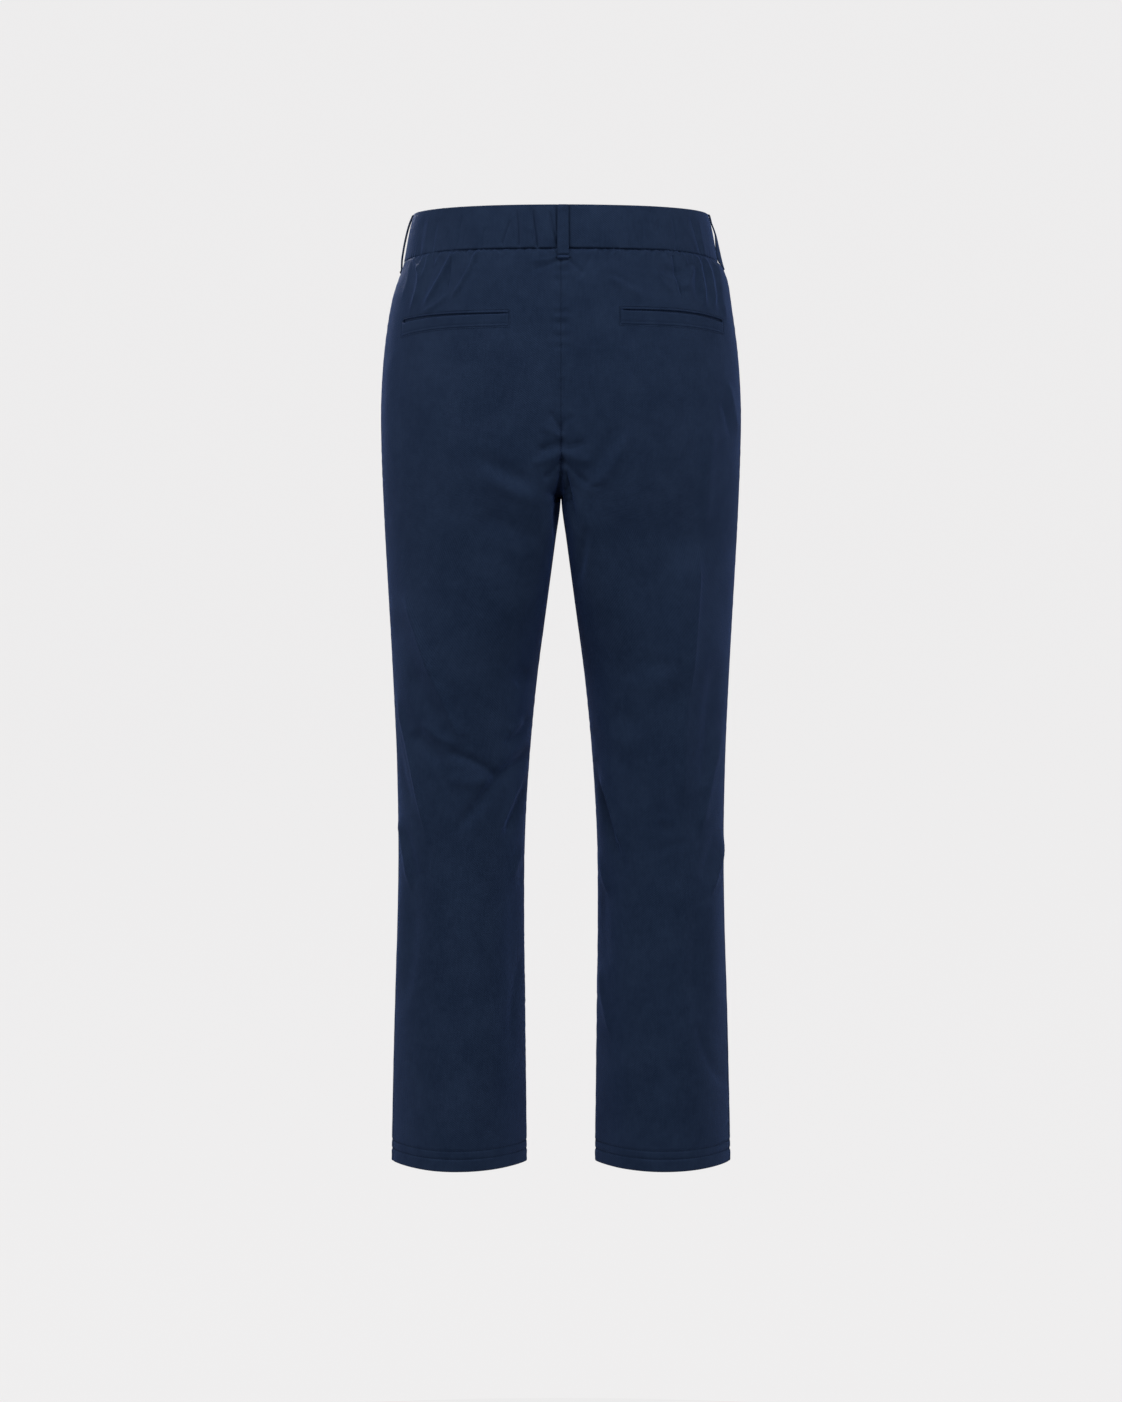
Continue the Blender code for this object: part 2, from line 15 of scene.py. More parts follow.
import bpy
import numpy as np
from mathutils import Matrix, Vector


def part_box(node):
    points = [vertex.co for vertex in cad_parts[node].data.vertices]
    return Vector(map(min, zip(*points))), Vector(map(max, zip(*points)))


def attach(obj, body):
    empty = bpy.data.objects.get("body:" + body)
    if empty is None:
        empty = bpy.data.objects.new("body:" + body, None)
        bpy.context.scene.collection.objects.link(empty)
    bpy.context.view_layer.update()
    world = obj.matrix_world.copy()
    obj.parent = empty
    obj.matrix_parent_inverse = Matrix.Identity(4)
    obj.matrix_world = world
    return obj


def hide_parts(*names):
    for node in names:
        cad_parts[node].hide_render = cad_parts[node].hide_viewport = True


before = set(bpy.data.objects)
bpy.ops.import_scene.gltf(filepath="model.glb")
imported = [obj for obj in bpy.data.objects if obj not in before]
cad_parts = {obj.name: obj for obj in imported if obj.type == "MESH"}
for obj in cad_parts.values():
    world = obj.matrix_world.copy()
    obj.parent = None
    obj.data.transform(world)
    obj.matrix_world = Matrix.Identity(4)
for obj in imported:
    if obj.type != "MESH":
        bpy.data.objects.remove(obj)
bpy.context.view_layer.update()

# %% [markdown]
# ## The camera comes first
#
# Most folds were read off a picture of the back, so their places are given as they are *seen*: in a
# picture plane through the side seams, one metre of plane to a metre of cloth. The camera's place
# turns a point on the cloth into its place in that plane. The camera looks level, and a shift of the
# lens frames the legs without tilting them.

# %% Camera
EYE_LEVEL = -0.330
CAMERA_DISTANCE = 3.43
PICTURE_HEIGHT = 1402  # in pixels
PIXELS_PER_METRE = 1000  # in the plane through the side seams
EYE_ROW = 566  # the picture's row at eye level
SENSOR = 36.0

camera_data = bpy.data.cameras.new("camera")
camera_data.sensor_width = SENSOR
camera_data.lens = SENSOR * CAMERA_DISTANCE * PIXELS_PER_METRE / PICTURE_HEIGHT
camera_data.shift_y = (EYE_ROW - PICTURE_HEIGHT / 2) / PICTURE_HEIGHT


def put(name, data):
    """A new object in the scene."""
    thing = bpy.data.objects.new(name, data)
    bpy.context.scene.collection.objects.link(thing)
    return thing


camera = put("camera", camera_data)
camera.location = (0.0, CAMERA_DISTANCE, EYE_LEVEL)
camera.rotation_euler = (math.pi / 2, 0.0, math.pi)
bpy.context.scene.camera = camera
print("lens", round(camera_data.lens, 1), "mm, shift", round(camera_data.shift_y, 3))


def seen(points, side=1.0):
    """Where points show in the picture plane, from the back (side 1) or from the front (-1)."""
    scale = CAMERA_DISTANCE / (CAMERA_DISTANCE - side * points[..., 1])
    return points[..., 0] * scale, (points[..., 2] - EYE_LEVEL) * scale + EYE_LEVEL


# %% [markdown]
# ## The form under the folds
#
# The cloth's outer face follows rings at sixteen heights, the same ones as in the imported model. Above
# the crotch a ring goes once round the body. Below it there is one oval for each leg. Between the
# two, under the seat, each row of the cloth blends from the first kind to the second, and dips at the
# sides so that the rows fan out from the fork. Smooth curves through the table give every size at
# every height, so the cloth can be as fine as its folds need.

# %% Heights and sizes
WAIST_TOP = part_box("waistband_back")[1][2]
WAIST_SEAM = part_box("waistband_back")[0][2]
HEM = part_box("back_left")[0][2]
HEM_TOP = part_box("hem_left")[1][2]
LOOP_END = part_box("belt_loop_back")[0][2]
FORK_TOP = -0.160
CROTCH = -0.262
FORK_SIDE = -0.305
LEVEL_AGAIN = -0.400
OVAL_FROM = -0.440
FORK_ROUND = 6.0
FORK_TIGHT = 14  # how closely the tuck keeps to the seam
INNER_CORNER = 4.6  # how much squarer a leg's inner corners are at the crotch
PINCH_FROM = -0.560
HEM_PINCH = 0.34  # towards the hem the leg lies flatter, with sharper sides
SIDE_SEAM = 0.014
SIDES = {"left": 1.0, "right": -1.0}
print("waist seam", round(WAIST_SEAM, 4), "hem", round(HEM, 4), "hem turned up to", round(HEM_TOP, 4))

Section = namedtuple("Section", "height outer inner back front square")
SECTIONS = (
    Section(0.0210, 0.1470, 0.0000, 0.1050, 0.1040, 2.20),
    Section(-0.0215, 0.1565, 0.0000, 0.1130, 0.1090, 2.20),
    Section(-0.0640, 0.1685, 0.0000, 0.1210, 0.1130, 2.22),
    Section(-0.1040, 0.1750, 0.0000, 0.1265, 0.1145, 2.24),
    Section(-0.1640, 0.1795, 0.0000, 0.1310, 0.1145, 2.25),
    Section(-0.2240, 0.1790, 0.0000, 0.1310, 0.1140, 2.25),
    Section(-0.2620, 0.1775, 0.0000, 0.1275, 0.1125, 2.22),
    Section(-0.3040, 0.1755, 0.0055, 0.1200, 0.1085, 2.20),
    Section(-0.3640, 0.1720, 0.0135, 0.1050, 0.1010, 2.18),
    Section(-0.4440, 0.1675, 0.0240, 0.0915, 0.0915, 2.15),
    Section(-0.5240, 0.1640, 0.0315, 0.0830, 0.0845, 2.12),
    Section(-0.6040, 0.1625, 0.0360, 0.0765, 0.0790, 2.10),
    Section(-0.6840, 0.1635, 0.0365, 0.0740, 0.0755, 2.10),
    Section(-0.7640, 0.1660, 0.0355, 0.0725, 0.0725, 2.10),
    Section(-0.8440, 0.1680, 0.0345, 0.0705, 0.0695, 2.10),
    Section(-0.9240, 0.1695, 0.0335, 0.0690, 0.0675, 2.10),
)


def eased(t):
    """A soft step: 0 under 0, 1 over 1."""
    t = np.clip(t, 0.0, 1.0)
    return t * t * (3 - 2 * t)


def hump(place, middle, width):
    """1 at the middle, about a third one width away."""
    return np.exp(-(((place - middle) / width) ** 2))


def window(place, low, high, edge):
    """1 between low and high and 0 outside, with soft edges."""
    return eased((place - low) / edge) * eased((high - place) / edge)


def soft_curve(knots, sizes, places):
    """Sizes at some places, on smooth curves through the sizes at the knots."""
    slopes = np.gradient(sizes, knots, axis=0)
    low = np.clip(np.searchsorted(knots, places) - 1, 0, len(knots) - 2)
    span = (knots[low + 1] - knots[low])[:, None]
    t = (places - knots[low])[:, None] / span
    return (
        (2 * t**3 - 3 * t**2 + 1) * sizes[low]
        + (t**3 - 2 * t**2 + t) * span * slopes[low]
        + (3 * t**2 - 2 * t**3) * sizes[low + 1]
        + (t**3 - t**2) * span * slopes[low + 1]
    )


def sections_at(heights):
    """The rings' sizes at some heights."""
    knots = np.array([row.height for row in SECTIONS])[::-1]
    values = soft_curve(knots, np.array([row[1:] for row in SECTIONS])[::-1], heights)
    values[:, 1] = np.where(heights < CROTCH, np.maximum(values[:, 1], 0.0), 0.0)
    return Section(heights[:, None], *(values[:, [column]] for column in range(values.shape[1])))


# %% Round the body, and round a leg
def filled(wave, square):
    """A sine or cosine bent so that the oval's corners fill out."""
    return np.sign(wave) * np.abs(wave) ** (2 / square)


def body_outline(size, angles):
    """Round the seat: 0 is the centre back, a quarter turn the widest line, half the front."""
    cosine = filled(np.cos(angles), size.square)
    depth = np.where(cosine > 0, size.back, size.front)
    return np.stack([size.outer * filled(np.sin(angles), size.square), depth * cosine], axis=-1)


def leg_outline(size, angles):
    """Round one leg: 0 is the inseam, a quarter turn the back, half the widest line."""
    middle = (size.outer + size.inner) / 2
    reach = (size.outer - size.inner) / 2
    across = middle - reach * filled(np.cos(angles), size.square)
    centre = middle * eased((CROTCH - size.height) / (CROTCH - OVAL_FROM))
    out = np.clip((across - centre) / (size.outer - centre), 0.0, 1.0)
    within = np.clip((middle - across) / reach, 0.0, 1.0)
    corner = size.square + INNER_CORNER * eased((size.height - OVAL_FROM) / (CROTCH - OVAL_FROM))
    pinch = HEM_PINCH * eased((PINCH_FROM - size.height) / (PINCH_FROM - HEM))
    rounding = (1 - out**size.square) ** (1 / size.square + pinch)
    rounding = rounding * (1 - within**corner) ** (1 / corner + pinch)
    backward = np.sin(angles)
    depth = np.where(backward > 0, size.back, size.front)
    return np.stack([across, np.sign(backward) * depth * rounding], axis=-1)


# %% Distances along an outline
OUTLINE_POINTS = 420
FINE = 2000  # steps of a curve that others are read from


def travelled(outlines):
    """Distance along each outline at each of its points."""
    steps = np.linalg.norm(np.diff(outlines, axis=-2), axis=-1)
    start = np.zeros(steps.shape[:-1] + (1,))
    return np.concatenate([start, np.cumsum(steps, axis=-1)], axis=-1)


def points_at(outlines, distances):
    """One point on each outline, at its own distance along it."""
    reached = travelled(outlines)
    low = np.clip((reached < distances[:, None]).sum(axis=1) - 1, 0, reached.shape[1] - 2)
    rows = np.arange(len(outlines))
    span = reached[rows, low + 1] - reached[rows, low]
    t = ((distances - reached[rows, low]) / span)[:, None]
    return (1 - t) * outlines[rows, low] + t * outlines[rows, low + 1]


# %% One row of cloth
Row = namedtuple("Row", "side centre side_blend centre_blend")
UNDER_CROWD = 16  # the cloth between the legs gets few columns


def panel_row(panel, row, places):
    """Points of one row of the left back or front panel, from its inner to its side seam."""
    heights = row.side + (row.centre - row.side) * (1 - places) ** 2
    tuck = (1 - places) ** FORK_TIGHT
    blend = (row.side_blend + (row.centre_blend - row.side_blend) * tuck)[:, None]
    size = sections_at(heights)
    tilt = (SIDE_SEAM / size.back) ** (size.square / 2)
    share = np.linspace(0.0, 1.0, OUTLINE_POINTS)[None, :]
    body_angles = share * np.arccos(tilt)
    leg_angles = share * (math.pi - np.arcsin(tilt))
    if panel == "front":
        body_angles = math.pi - share * (math.pi - np.arccos(tilt))
        leg_angles = -share * (math.pi + np.arcsin(tilt))
    body = body_outline(size, body_angles)
    leg = leg_outline(size, leg_angles)
    body_length = travelled(body)[:, -1]
    leg_length = travelled(leg)[:, -1]
    under = np.clip(1 - body_length / leg_length, 0.0, 1.0)
    under *= 1 - eased((CROTCH - heights) / (CROTCH - OVAL_FROM))
    left_over = 1 - places
    crowded = 1 - ((1 - under) * left_over + under * left_over**UNDER_CROWD)
    body = points_at(body, places * body_length)
    leg = points_at(leg, crowded * leg_length)
    return np.column_stack([(1 - blend) * body + blend * leg, heights])


# %% [markdown]
# ## Rows and columns where the detail is
#
# A fold needs several rows across it before it looks soft, and a plain stretch needs few. The rows
# are therefore close together at the waist seam, the pockets, the fork, the knees and the hem, and
# the columns are close together along the seams and darts.

# %% Rows
Stretch = namedtuple("Stretch", "end step")
BODY_STRETCHES = (
    Stretch(-0.0400, 0.0009),
    Stretch(-0.0780, 0.0015),
    Stretch(-0.1080, 0.0009),
    Stretch(FORK_TOP, 0.0022),
)
LEG_STRETCHES = (
    Stretch(-0.430, 0.0031),
    Stretch(-0.600, 0.0019),
    Stretch(-0.895, 0.0041),
    Stretch(HEM, 0.0011),
)
FORK_ROWS = 84
SIDE_LAG = 2.5  # a row turns into a leg's first at its centre


def stepped(start, stretches):
    """Heights from a start down through some stretches, each with its own step."""
    heights = [start]
    for stretch in stretches:
        count = round((heights[-1] - stretch.end) / stretch.step)
        heights.extend(np.linspace(heights[-1], stretch.end, count + 1)[1:])
    return heights


def panel_rows():
    """The panels' rows, from the waist seam to the hem."""
    rows = [Row(height, height, 0.0, 0.0) for height in stepped(WAIST_SEAM, BODY_STRETCHES)]
    turns = np.linspace(0.0, math.pi / 2, FINE)
    curve = np.column_stack([np.sin(turns), 1 - np.cos(turns).clip(0, 1)])
    curve = np.column_stack([curve[:, 0] ** (2 / FORK_ROUND), 1 - (1 - curve[:, 1]) ** (2 / FORK_ROUND)])
    reached = travelled(curve * np.array([FORK_TOP - CROTCH, sections_at(np.array([CROTCH])).back.item()]))
    for t in np.linspace(0.0, 1.0, FORK_ROWS + 1)[1:]:
        down = float(np.interp(t * reached[-1], reached, curve[:, 0]))
        inward = float(np.interp(t * reached[-1], reached, curve[:, 1]))
        side = FORK_TOP + (FORK_SIDE - FORK_TOP) * t
        side_blend = float(eased(t)) ** SIDE_LAG
        rows.append(Row(side, FORK_TOP + (CROTCH - FORK_TOP) * down, side_blend, inward))
    rows[-1] = Row(FORK_SIDE, CROTCH, 1.0, 1.0)
    slant = (LEVEL_AGAIN - CROTCH) / (LEVEL_AGAIN - FORK_SIDE)
    for height in stepped(FORK_SIDE, LEG_STRETCHES)[1:]:
        centre = min(LEVEL_AGAIN + (height - LEVEL_AGAIN) * slant, CROTCH)
        rows.append(Row(height, centre if height > LEVEL_AGAIN else height, 1.0, 1.0))
    return rows


cloth_rows = panel_rows()
print(len(cloth_rows), "rows of cloth")

# %% Columns
Crowd = namedtuple("Crowd", "place width extra")
BACK_CROWDS = (
    Crowd(0.0, 0.05, 2.4),
    Crowd(0.58, 0.16, 0.9),
    Crowd(0.85, 0.12, 0.6),
    Crowd(1.0, 0.03, 1.6),
)
FRONT_CROWDS = (Crowd(0.0, 0.05, 1.2), Crowd(1.0, 0.04, 1.2))
BACK_COLUMNS = 196
FRONT_COLUMNS = 96


def crowded_places(count, crowds):
    """Places from 0 to 1, closer together round some of them."""
    fine = np.linspace(0.0, 1.0, FINE)
    density = np.ones(FINE)
    for crowd in crowds:
        density += crowd.extra * hump(fine, crowd.place, crowd.width)
    reached = np.concatenate([[0.0], np.cumsum((density[1:] + density[:-1]) / 2)])
    return np.interp(np.linspace(0.0, reached[-1], count), reached, fine)


back_places = crowded_places(BACK_COLUMNS, BACK_CROWDS)
front_places = crowded_places(FRONT_COLUMNS, FRONT_CROWDS)

# %% The smooth left half, from the centre back round to the centre front
OFF_CENTRE = 5  # a column that isn't on the centre seam


def smooth_half():
    lines = []
    for row in cloth_rows:
        back = panel_row("back", row, back_places)
        front = panel_row("front", row, front_places)
        lines.append(np.concatenate([back, front[-2::-1]]))
    return np.array(lines)


def outward(points, rows):
    """Directions out of a half ring. The centre columns look straight back or forward."""
    down = np.gradient(points, axis=0)
    across = np.gradient(points, axis=1)
    side = np.sign(points[0, OFF_CENTRE, 0])
    for number, row in enumerate(rows):
        if row.centre_blend < 1:
            across[number, 0] = (side, 0.0, 0.0)
            across[number, -1] = (-side, 0.0, 0.0)
        else:
            across[number, 0] = across[number, -1] = points[number, 1] - points[number, -2]
            down[number, 0] = down[number, -1] = (down[number, 0] + down[number, -1]) / 2
    normals = np.cross(across, down) * side
    return normals / np.linalg.norm(normals, axis=2, keepdims=True)


FORK_FOOT = next(number for number, row in enumerate(cloth_rows) if row.centre_blend >= 1)
FOOT_REACH = 26  # rows each way
FOOT_PASSES = 160
FOOT_PULL = 0.5  # of the way to its neighbours, in each pass
FOOT_FROM, FOOT_FADE = 0.10, 0.25  # it starts this far along a row, and is full so much further on


def softened(points):
    """The rows where the fork ends, evened out away from the fork itself."""
    places = np.concatenate([back_places, front_places[-2::-1]])
    share = eased((places - FOOT_FROM) / FOOT_FADE)
    rows = np.arange(FORK_FOOT - FOOT_REACH, FORK_FOOT + FOOT_REACH)
    weight = eased(1 - np.abs(rows - FORK_FOOT) / FOOT_REACH)[:, None, None] * share[None, :, None]
    for _ in range(FOOT_PASSES):
        middle = (points[rows - 1] + points[rows + 1]) / 2
        points[rows] += FOOT_PULL * weight * (middle - points[rows])
    return points


smooth_points = softened(smooth_half())
smooth_normals = outward(smooth_points, cloth_rows)
print("smooth half:", smooth_points.shape[0], "x", smooth_points.shape[1], "points")

# %% [markdown]
# ## Folds, listed one by one
#
# A fold is a soft trough (depth under zero) or ridge along a curve through three places, as seen. Its
# width is where the height has fallen to about a third, and a low `crest` makes its line sharp, like
# a crease. `held` says which end runs into a seam and so doesn't fade. The same folds move the left
# and the right half, so the two meet at the centre seam, and a front and a back set meet at the
# widest line.

# %% Folds on the back
Fold = namedtuple("Fold", "x z x_mid z_mid x_end z_end width depth crest held", defaults=("",))
TENTHS = 10000  # tenths of a millimetre in a metre


def folds(*rows):
    """Folds from rows of whole numbers: tenths of a millimetre, with the crest in tenths."""
    return [Fold(*(number / TENTHS for number in row[:8]), row[8] / 10, *row[9:]) for row in rows]


BACK_FOLDS = folds(
    # drag lines from the elastic to the left pocket
    (1510, -220, 1535, -430, 1615, -680, 24, 6, 15, "start"),
    (1455, -210, 1425, -460, 1540, -840, 23, 13, 15, "start"),
    (1375, -180, 1405, -260, 1440, -350, 16, 8, 15, "start"),
    (1325, -180, 1355, -310, 1410, -440, 18, 9, 15, "start"),
    (1090, -190, 1215, -430, 1400, -750, 26, 16, 15, "start"),
    (840, -160, 965, -420, 1120, -650, 23, 15, 15, "start"),
    (1110, -540, 1240, -680, 1420, -770, 28, 10, 16),
    (1210, -170, 1240, -230, 1280, -310, 18, 6, 16, "start"),
    (980, -180, 1080, -380, 1240, -620, 50, -6, 20, "start"),
    (1260, -200, 1340, -480, 1480, -780, 36, -6, 20, "start"),
    # and on the right, nearly upright
    (-940, -290, -1030, -455, -1140, -575, 36, 10, 16),
    (-970, -290, -1120, -360, -1270, -370, 45, -12, 18),
    (-1320, -260, -1285, -420, -1225, -560, 42, 14, 16),
    (-1220, -180, -1245, -240, -1270, -300, 20, 8, 15, "start"),
    (-1290, -180, -1305, -230, -1310, -280, 20, 8, 15, "start"),
    (-1350, -180, -1410, -410, -1450, -760, 28, 16, 15, "start"),
    (-1425, -190, -1495, -430, -1545, -790, 28, 19, 15, "start"),
    (-1530, -260, -1585, -560, -1660, -920, 30, 12, 15, "start"),
    (-1355, -260, -1360, -460, -1385, -700, 34, -10, 18),
    (-1400, -220, -1450, -460, -1490, -740, 30, -9, 18, "start"),
    (-1480, -240, -1545, -500, -1600, -820, 34, -11, 18, "start"),
    (-440, -360, -610, -430, -800, -550, 40, -6, 18),
    (-450, -410, -620, -480, -810, -600, 36, 5, 16),
    (-350, -270, -660, -500, -920, -620, 80, 6, 18),
    # short lines that fan out from the centre loop's end
    (50, -260, 160, -300, 310, -350, 30, -6, 16, "start"),
    (60, -220, 190, -240, 340, -260, 26, 4, 16, "start"),
    (-100, -260, -170, -320, -230, -390, 25, -7, 15, "start"),
    (-310, -140, -240, -320, -130, -450, 25, -6, 16),
    (-60, -270, -110, -360, -140, -480, 26, 5, 16, "start"),
    # darts
    (1080, -150, 1110, -350, 1150, -640, 11, -8, 11, "start"),
    (-1120, -200, -1165, -420, -1235, -670, 12, -12, 11, "start"),
    # the seat dips towards its seam, more and more down to the fork
    (0, -1300, 0, -2000, 0, -2620, 110, -12, 16, "end"),
    (0, -1750, 0, -2150, 0, -2620, 45, -10, 14, "end"),
    # puckers at the seam over the fork, left
    (130, -1740, 60, -1840, 0, -1930, 36, -11, 16, "end"),
    (210, -1890, 100, -1950, 10, -1980, 32, 8, 16, "end"),
    (250, -2140, 130, -2120, 0, -2070, 42, -16, 16, "end"),
    (320, -2260, 160, -2250, 20, -2190, 42, 10, 18, "end"),
    (190, -2440, 90, -2370, 0, -2260, 36, -17, 15, "end"),
    (920, -2160, 610, -2330, 220, -2520, 90, -15, 20),
    (840, -2340, 480, -2550, 120, -2680, 95, 14, 20),
    (870, -2820, 510, -2920, 140, -3120, 120, -14, 20),
    # and right
    (-140, -1780, -70, -1840, 0, -1890, 30, -7, 16, "end"),
    (-270, -2050, -130, -2100, 0, -2110, 40, -14, 16, "end"),
    (-360, -2260, -190, -2230, -20, -2160, 50, 10, 18, "end"),
    (-10, -2220, -170, -2400, -300, -2500, 36, -16, 14, "start"),
    (-280, -2490, -340, -2510, -400, -2470, 26, -6, 16),
    (-44, -2300, -88, -2640, -205, -3010, 18, -21, 14),
    (0, -2130, 0, -2310, 0, -2520, 11, -12, 12),
    (-700, -1860, -520, -2290, -160, -2620, 65, 12, 18),
    (-580, -1820, -430, -2170, -200, -2400, 70, -9, 20),
    (-240, -2860, -225, -3150, -150, -3520, 58, -14, 18),
    (-300, -2780, -305, -3060, -220, -3500, 42, 9, 16),
    # along the sides of the seat
    (1680, -1100, 1720, -1700, 1650, -2500, 60, 10, 20),
    (-1640, -1400, -1720, -1700, -1770, -2050, 34, 11, 15),
    (-1590, -1600, -1660, -1840, -1710, -2060, 36, -8, 16),
    # long soft ridges down the thighs
    (1580, -3500, 1420, -4040, 1220, -4600, 46, 22, 13),
    (1680, -3720, 1540, -4200, 1380, -4620, 90, -13, 20),
    (-1510, -1700, -1470, -2340, -1430, -3060, 65, 11, 18),
    (-1370, -3000, -1320, -3850, -1270, -4700, 110, 42, 10),
    (-1220, -3000, -1170, -3850, -1120, -4700, 120, 30, 20),
    (-1275, -4300, -1235, -5000, -1220, -5760, 75, 26, 11),
    (-1580, -4100, -1480, -4840, -1435, -5560, 85, -18, 20),
    # behind the left knee
    (1290, -4380, 1140, -4740, 965, -5130, 48, 19, 14),
    (1500, -4300, 1360, -4620, 1160, -4900, 90, -10, 20),
    (970, -4970, 950, -5060, 890, -5140, 46, -6, 18),
    (1420, -4840, 1240, -5000, 990, -5110, 50, 11, 16),
    (1500, -4940, 1340, -5100, 1170, -5330, 72, -17, 19),
    (1190, -5150, 920, -5240, 670, -5375, 56, -19, 18, "end"),
    (1160, -5400, 920, -5465, 640, -5420, 70, 12, 19),
    (320, -5180, 670, -5500, 1100, -6040, 66, -24, 20, "start"),
    (360, -5060, 620, -5260, 860, -5540, 80, 3, 20),
    (325, -5300, 480, -5646, 650, -6080, 28, 9, 14, "start"),
    (280, -5380, 425, -5700, 565, -6060, 52, -26, 18, "start"),
    (340, -6020, 435, -6250, 500, -6460, 24, 14, 14, "start"),
    (310, -6120, 370, -6320, 410, -6520, 36, -10, 16, "start"),
    (580, -5040, 455, -5030, 340, -4860, 44, -11, 18, "end"),
    (550, -4940, 460, -4910, 380, -4800, 46, 9, 18),
    (340, -4300, 390, -4420, 460, -4500, 70, -10, 20),
    (1655, -4520, 1505, -5200, 1325, -6140, 28, 20, 14),
    (1730, -4780, 1600, -5320, 1470, -5800, 48, -16, 18),
    (1640, -5720, 1560, -6140, 1495, -6580, 30, 24, 14),
    (1570, -5900, 1510, -6160, 1440, -6500, 50, -10, 18),
    # behind the right knee
    (-330, -5000, -490, -5200, -700, -5350, 90, -9, 20, "start"),
    (-360, -4860, -540, -5020, -760, -5120, 70, 4, 19),
    (-460, -4700, -640, -4830, -880, -4840, 100, -6, 20),
    (-310, -5280, -430, -5720, -580, -6300, 44, -25, 15, "start"),
    (-345, -5320, -490, -5740, -635, -6280, 26, 16, 14),
    (-560, -6000, -600, -6200, -660, -6400, 50, -10, 18),
    (-370, -6200, -420, -6400, -480, -6600, 24, 14, 14, "start"),
    (-960, -5800, -1040, -5840, -1130, -5900, 50, 6, 18),
    (-880, -6180, -1090, -6110, -1300, -6060, 40, -5, 18),
    (-740, -4230, -1000, -4280, -1300, -4270, 80, -6, 20),
    (-560, -4460, -850, -4490, -1220, -4440, 100, 6, 20),
    (-1630, -4860, -1480, -5500, -1370, -6080, 52, 21, 14),
    (-1490, -5200, -1390, -5660, -1310, -6100, 60, -10, 18),
    (-1690, -5800, -1580, -6260, -1480, -6620, 32, 22, 14),
    (-1550, -5900, -1470, -6200, -1390, -6500, 50, -10, 18),
    # down the shins
    (1490, -6400, 1500, -7140, 1600, -7800, 65, -11, 20),
    (1610, -6300, 1610, -7000, 1650, -7650, 70, 10, 20),
    (480, -6400, 480, -7000, 480, -7600, 70, -8, 20),
    (350, -7120, 460, -7520, 510, -8220, 48, -10, 16, "start"),
    (-360, -7240, -420, -7620, -520, -8060, 34, 14, 15),
    (-400, -6400, -430, -6900, -470, -7400, 60, -8, 20),
    (-1500, -6400, -1510, -7240, -1540, -8060, 110, 15, 20),
    (-1360, -7800, -1450, -8190, -1610, -8430, 60, -12, 17, "end"),
    (-1330, -6600, -1320, -7300, -1340, -7900, 60, -8, 20),
    (1100, -7000, 1000, -7900, 1120, -8800, 160, -9, 20),
    (-900, -7200, -1040, -8000, -920, -8900, 160, -9, 20),
)

# %% Folds on the front, which nobody sees in the picture
FRONT_FOLDS = folds(
    (10, -2220, 280, -2050, 700, -1820, 60, -14, 18, "start"),
    (10, -2380, 320, -2320, 820, -2220, 70, -16, 18, "start"),
    (20, -2320, 300, -2190, 720, -2030, 50, 10, 18, "start"),
    (-10, -2260, -300, -2110, -760, -1900, 60, -15, 18, "start"),
    (-10, -2420, -340, -2400, -800, -2330, 70, -14, 18, "start"),
    (-20, -2360, -300, -2260, -700, -2140, 50, 9, 18, "start"),
    (0, -1900, 0, -2250, 0, -2620, 100, -20, 17, "end"),
    (100, -2620, 200, -3000, 260, -3450, 60, -14, 17, "start"),
    (-90, -2620, -180, -2960, -230, -3380, 60, -14, 17, "start"),
    (1500, -4900, 1120, -5120, 620, -5020, 80, -24, 18),
    (400, -5960, 780, -5900, 1220, -5720, 80, -22, 18),
    (520, -5200, 880, -5400, 1320, -5520, 70, -18, 18),
    (400, -6100, 800, -6060, 1180, -5900, 60, 12, 18),
    (-1460, -4780, -1020, -5030, -560, -5120, 80, -24, 18),
    (-460, -5600, -920, -5560, -1360, -5360, 70, -18, 18),
    (-480, -6060, -900, -6140, -1340, -6000, 80, -20, 18),
    (1500, -3300, 1280, -4000, 1180, -4700, 100, 13, 19),
    (-1480, -3000, -1320, -3800, -1260, -4500, 100, 13, 19),
    (1040, -6400, 980, -7500, 1060, -8700, 140, -12, 20),
    (-980, -6500, -1060, -7600, -960, -8800, 140, -12, 20),
    (600, -6800, 580, -7600, 660, -8500, 100, 10, 20),
    (-1420, -6800, -1460, -7600, -1400, -8500, 100, 10, 20),
)
print(len(BACK_FOLDS), "folds on the back,", len(FRONT_FOLDS), "on the front")

# %% How far the folds move the cloth
FOLD_STEPS = 12
FOLD_STRENGTH = 1.75  # of every depth in the tables
FADE = 0.28  # share of a fold's length over which a free end fades
FOLD_REACH = 3.2  # widths away from its line where a fold stops


def fold_line(fold):
    """Places along a fold, on the curve through its three places."""
    ends = np.array([[fold.x, fold.z], [fold.x_end, fold.z_end]])
    pull = 2 * np.array([fold.x_mid, fold.z_mid]) - ends.mean(axis=0)
    t = np.linspace(0.0, 1.0, FOLD_STEPS + 1)[:, None]
    return (1 - t) ** 2 * ends[0] + 2 * t * (1 - t) * pull + t**2 * ends[1]


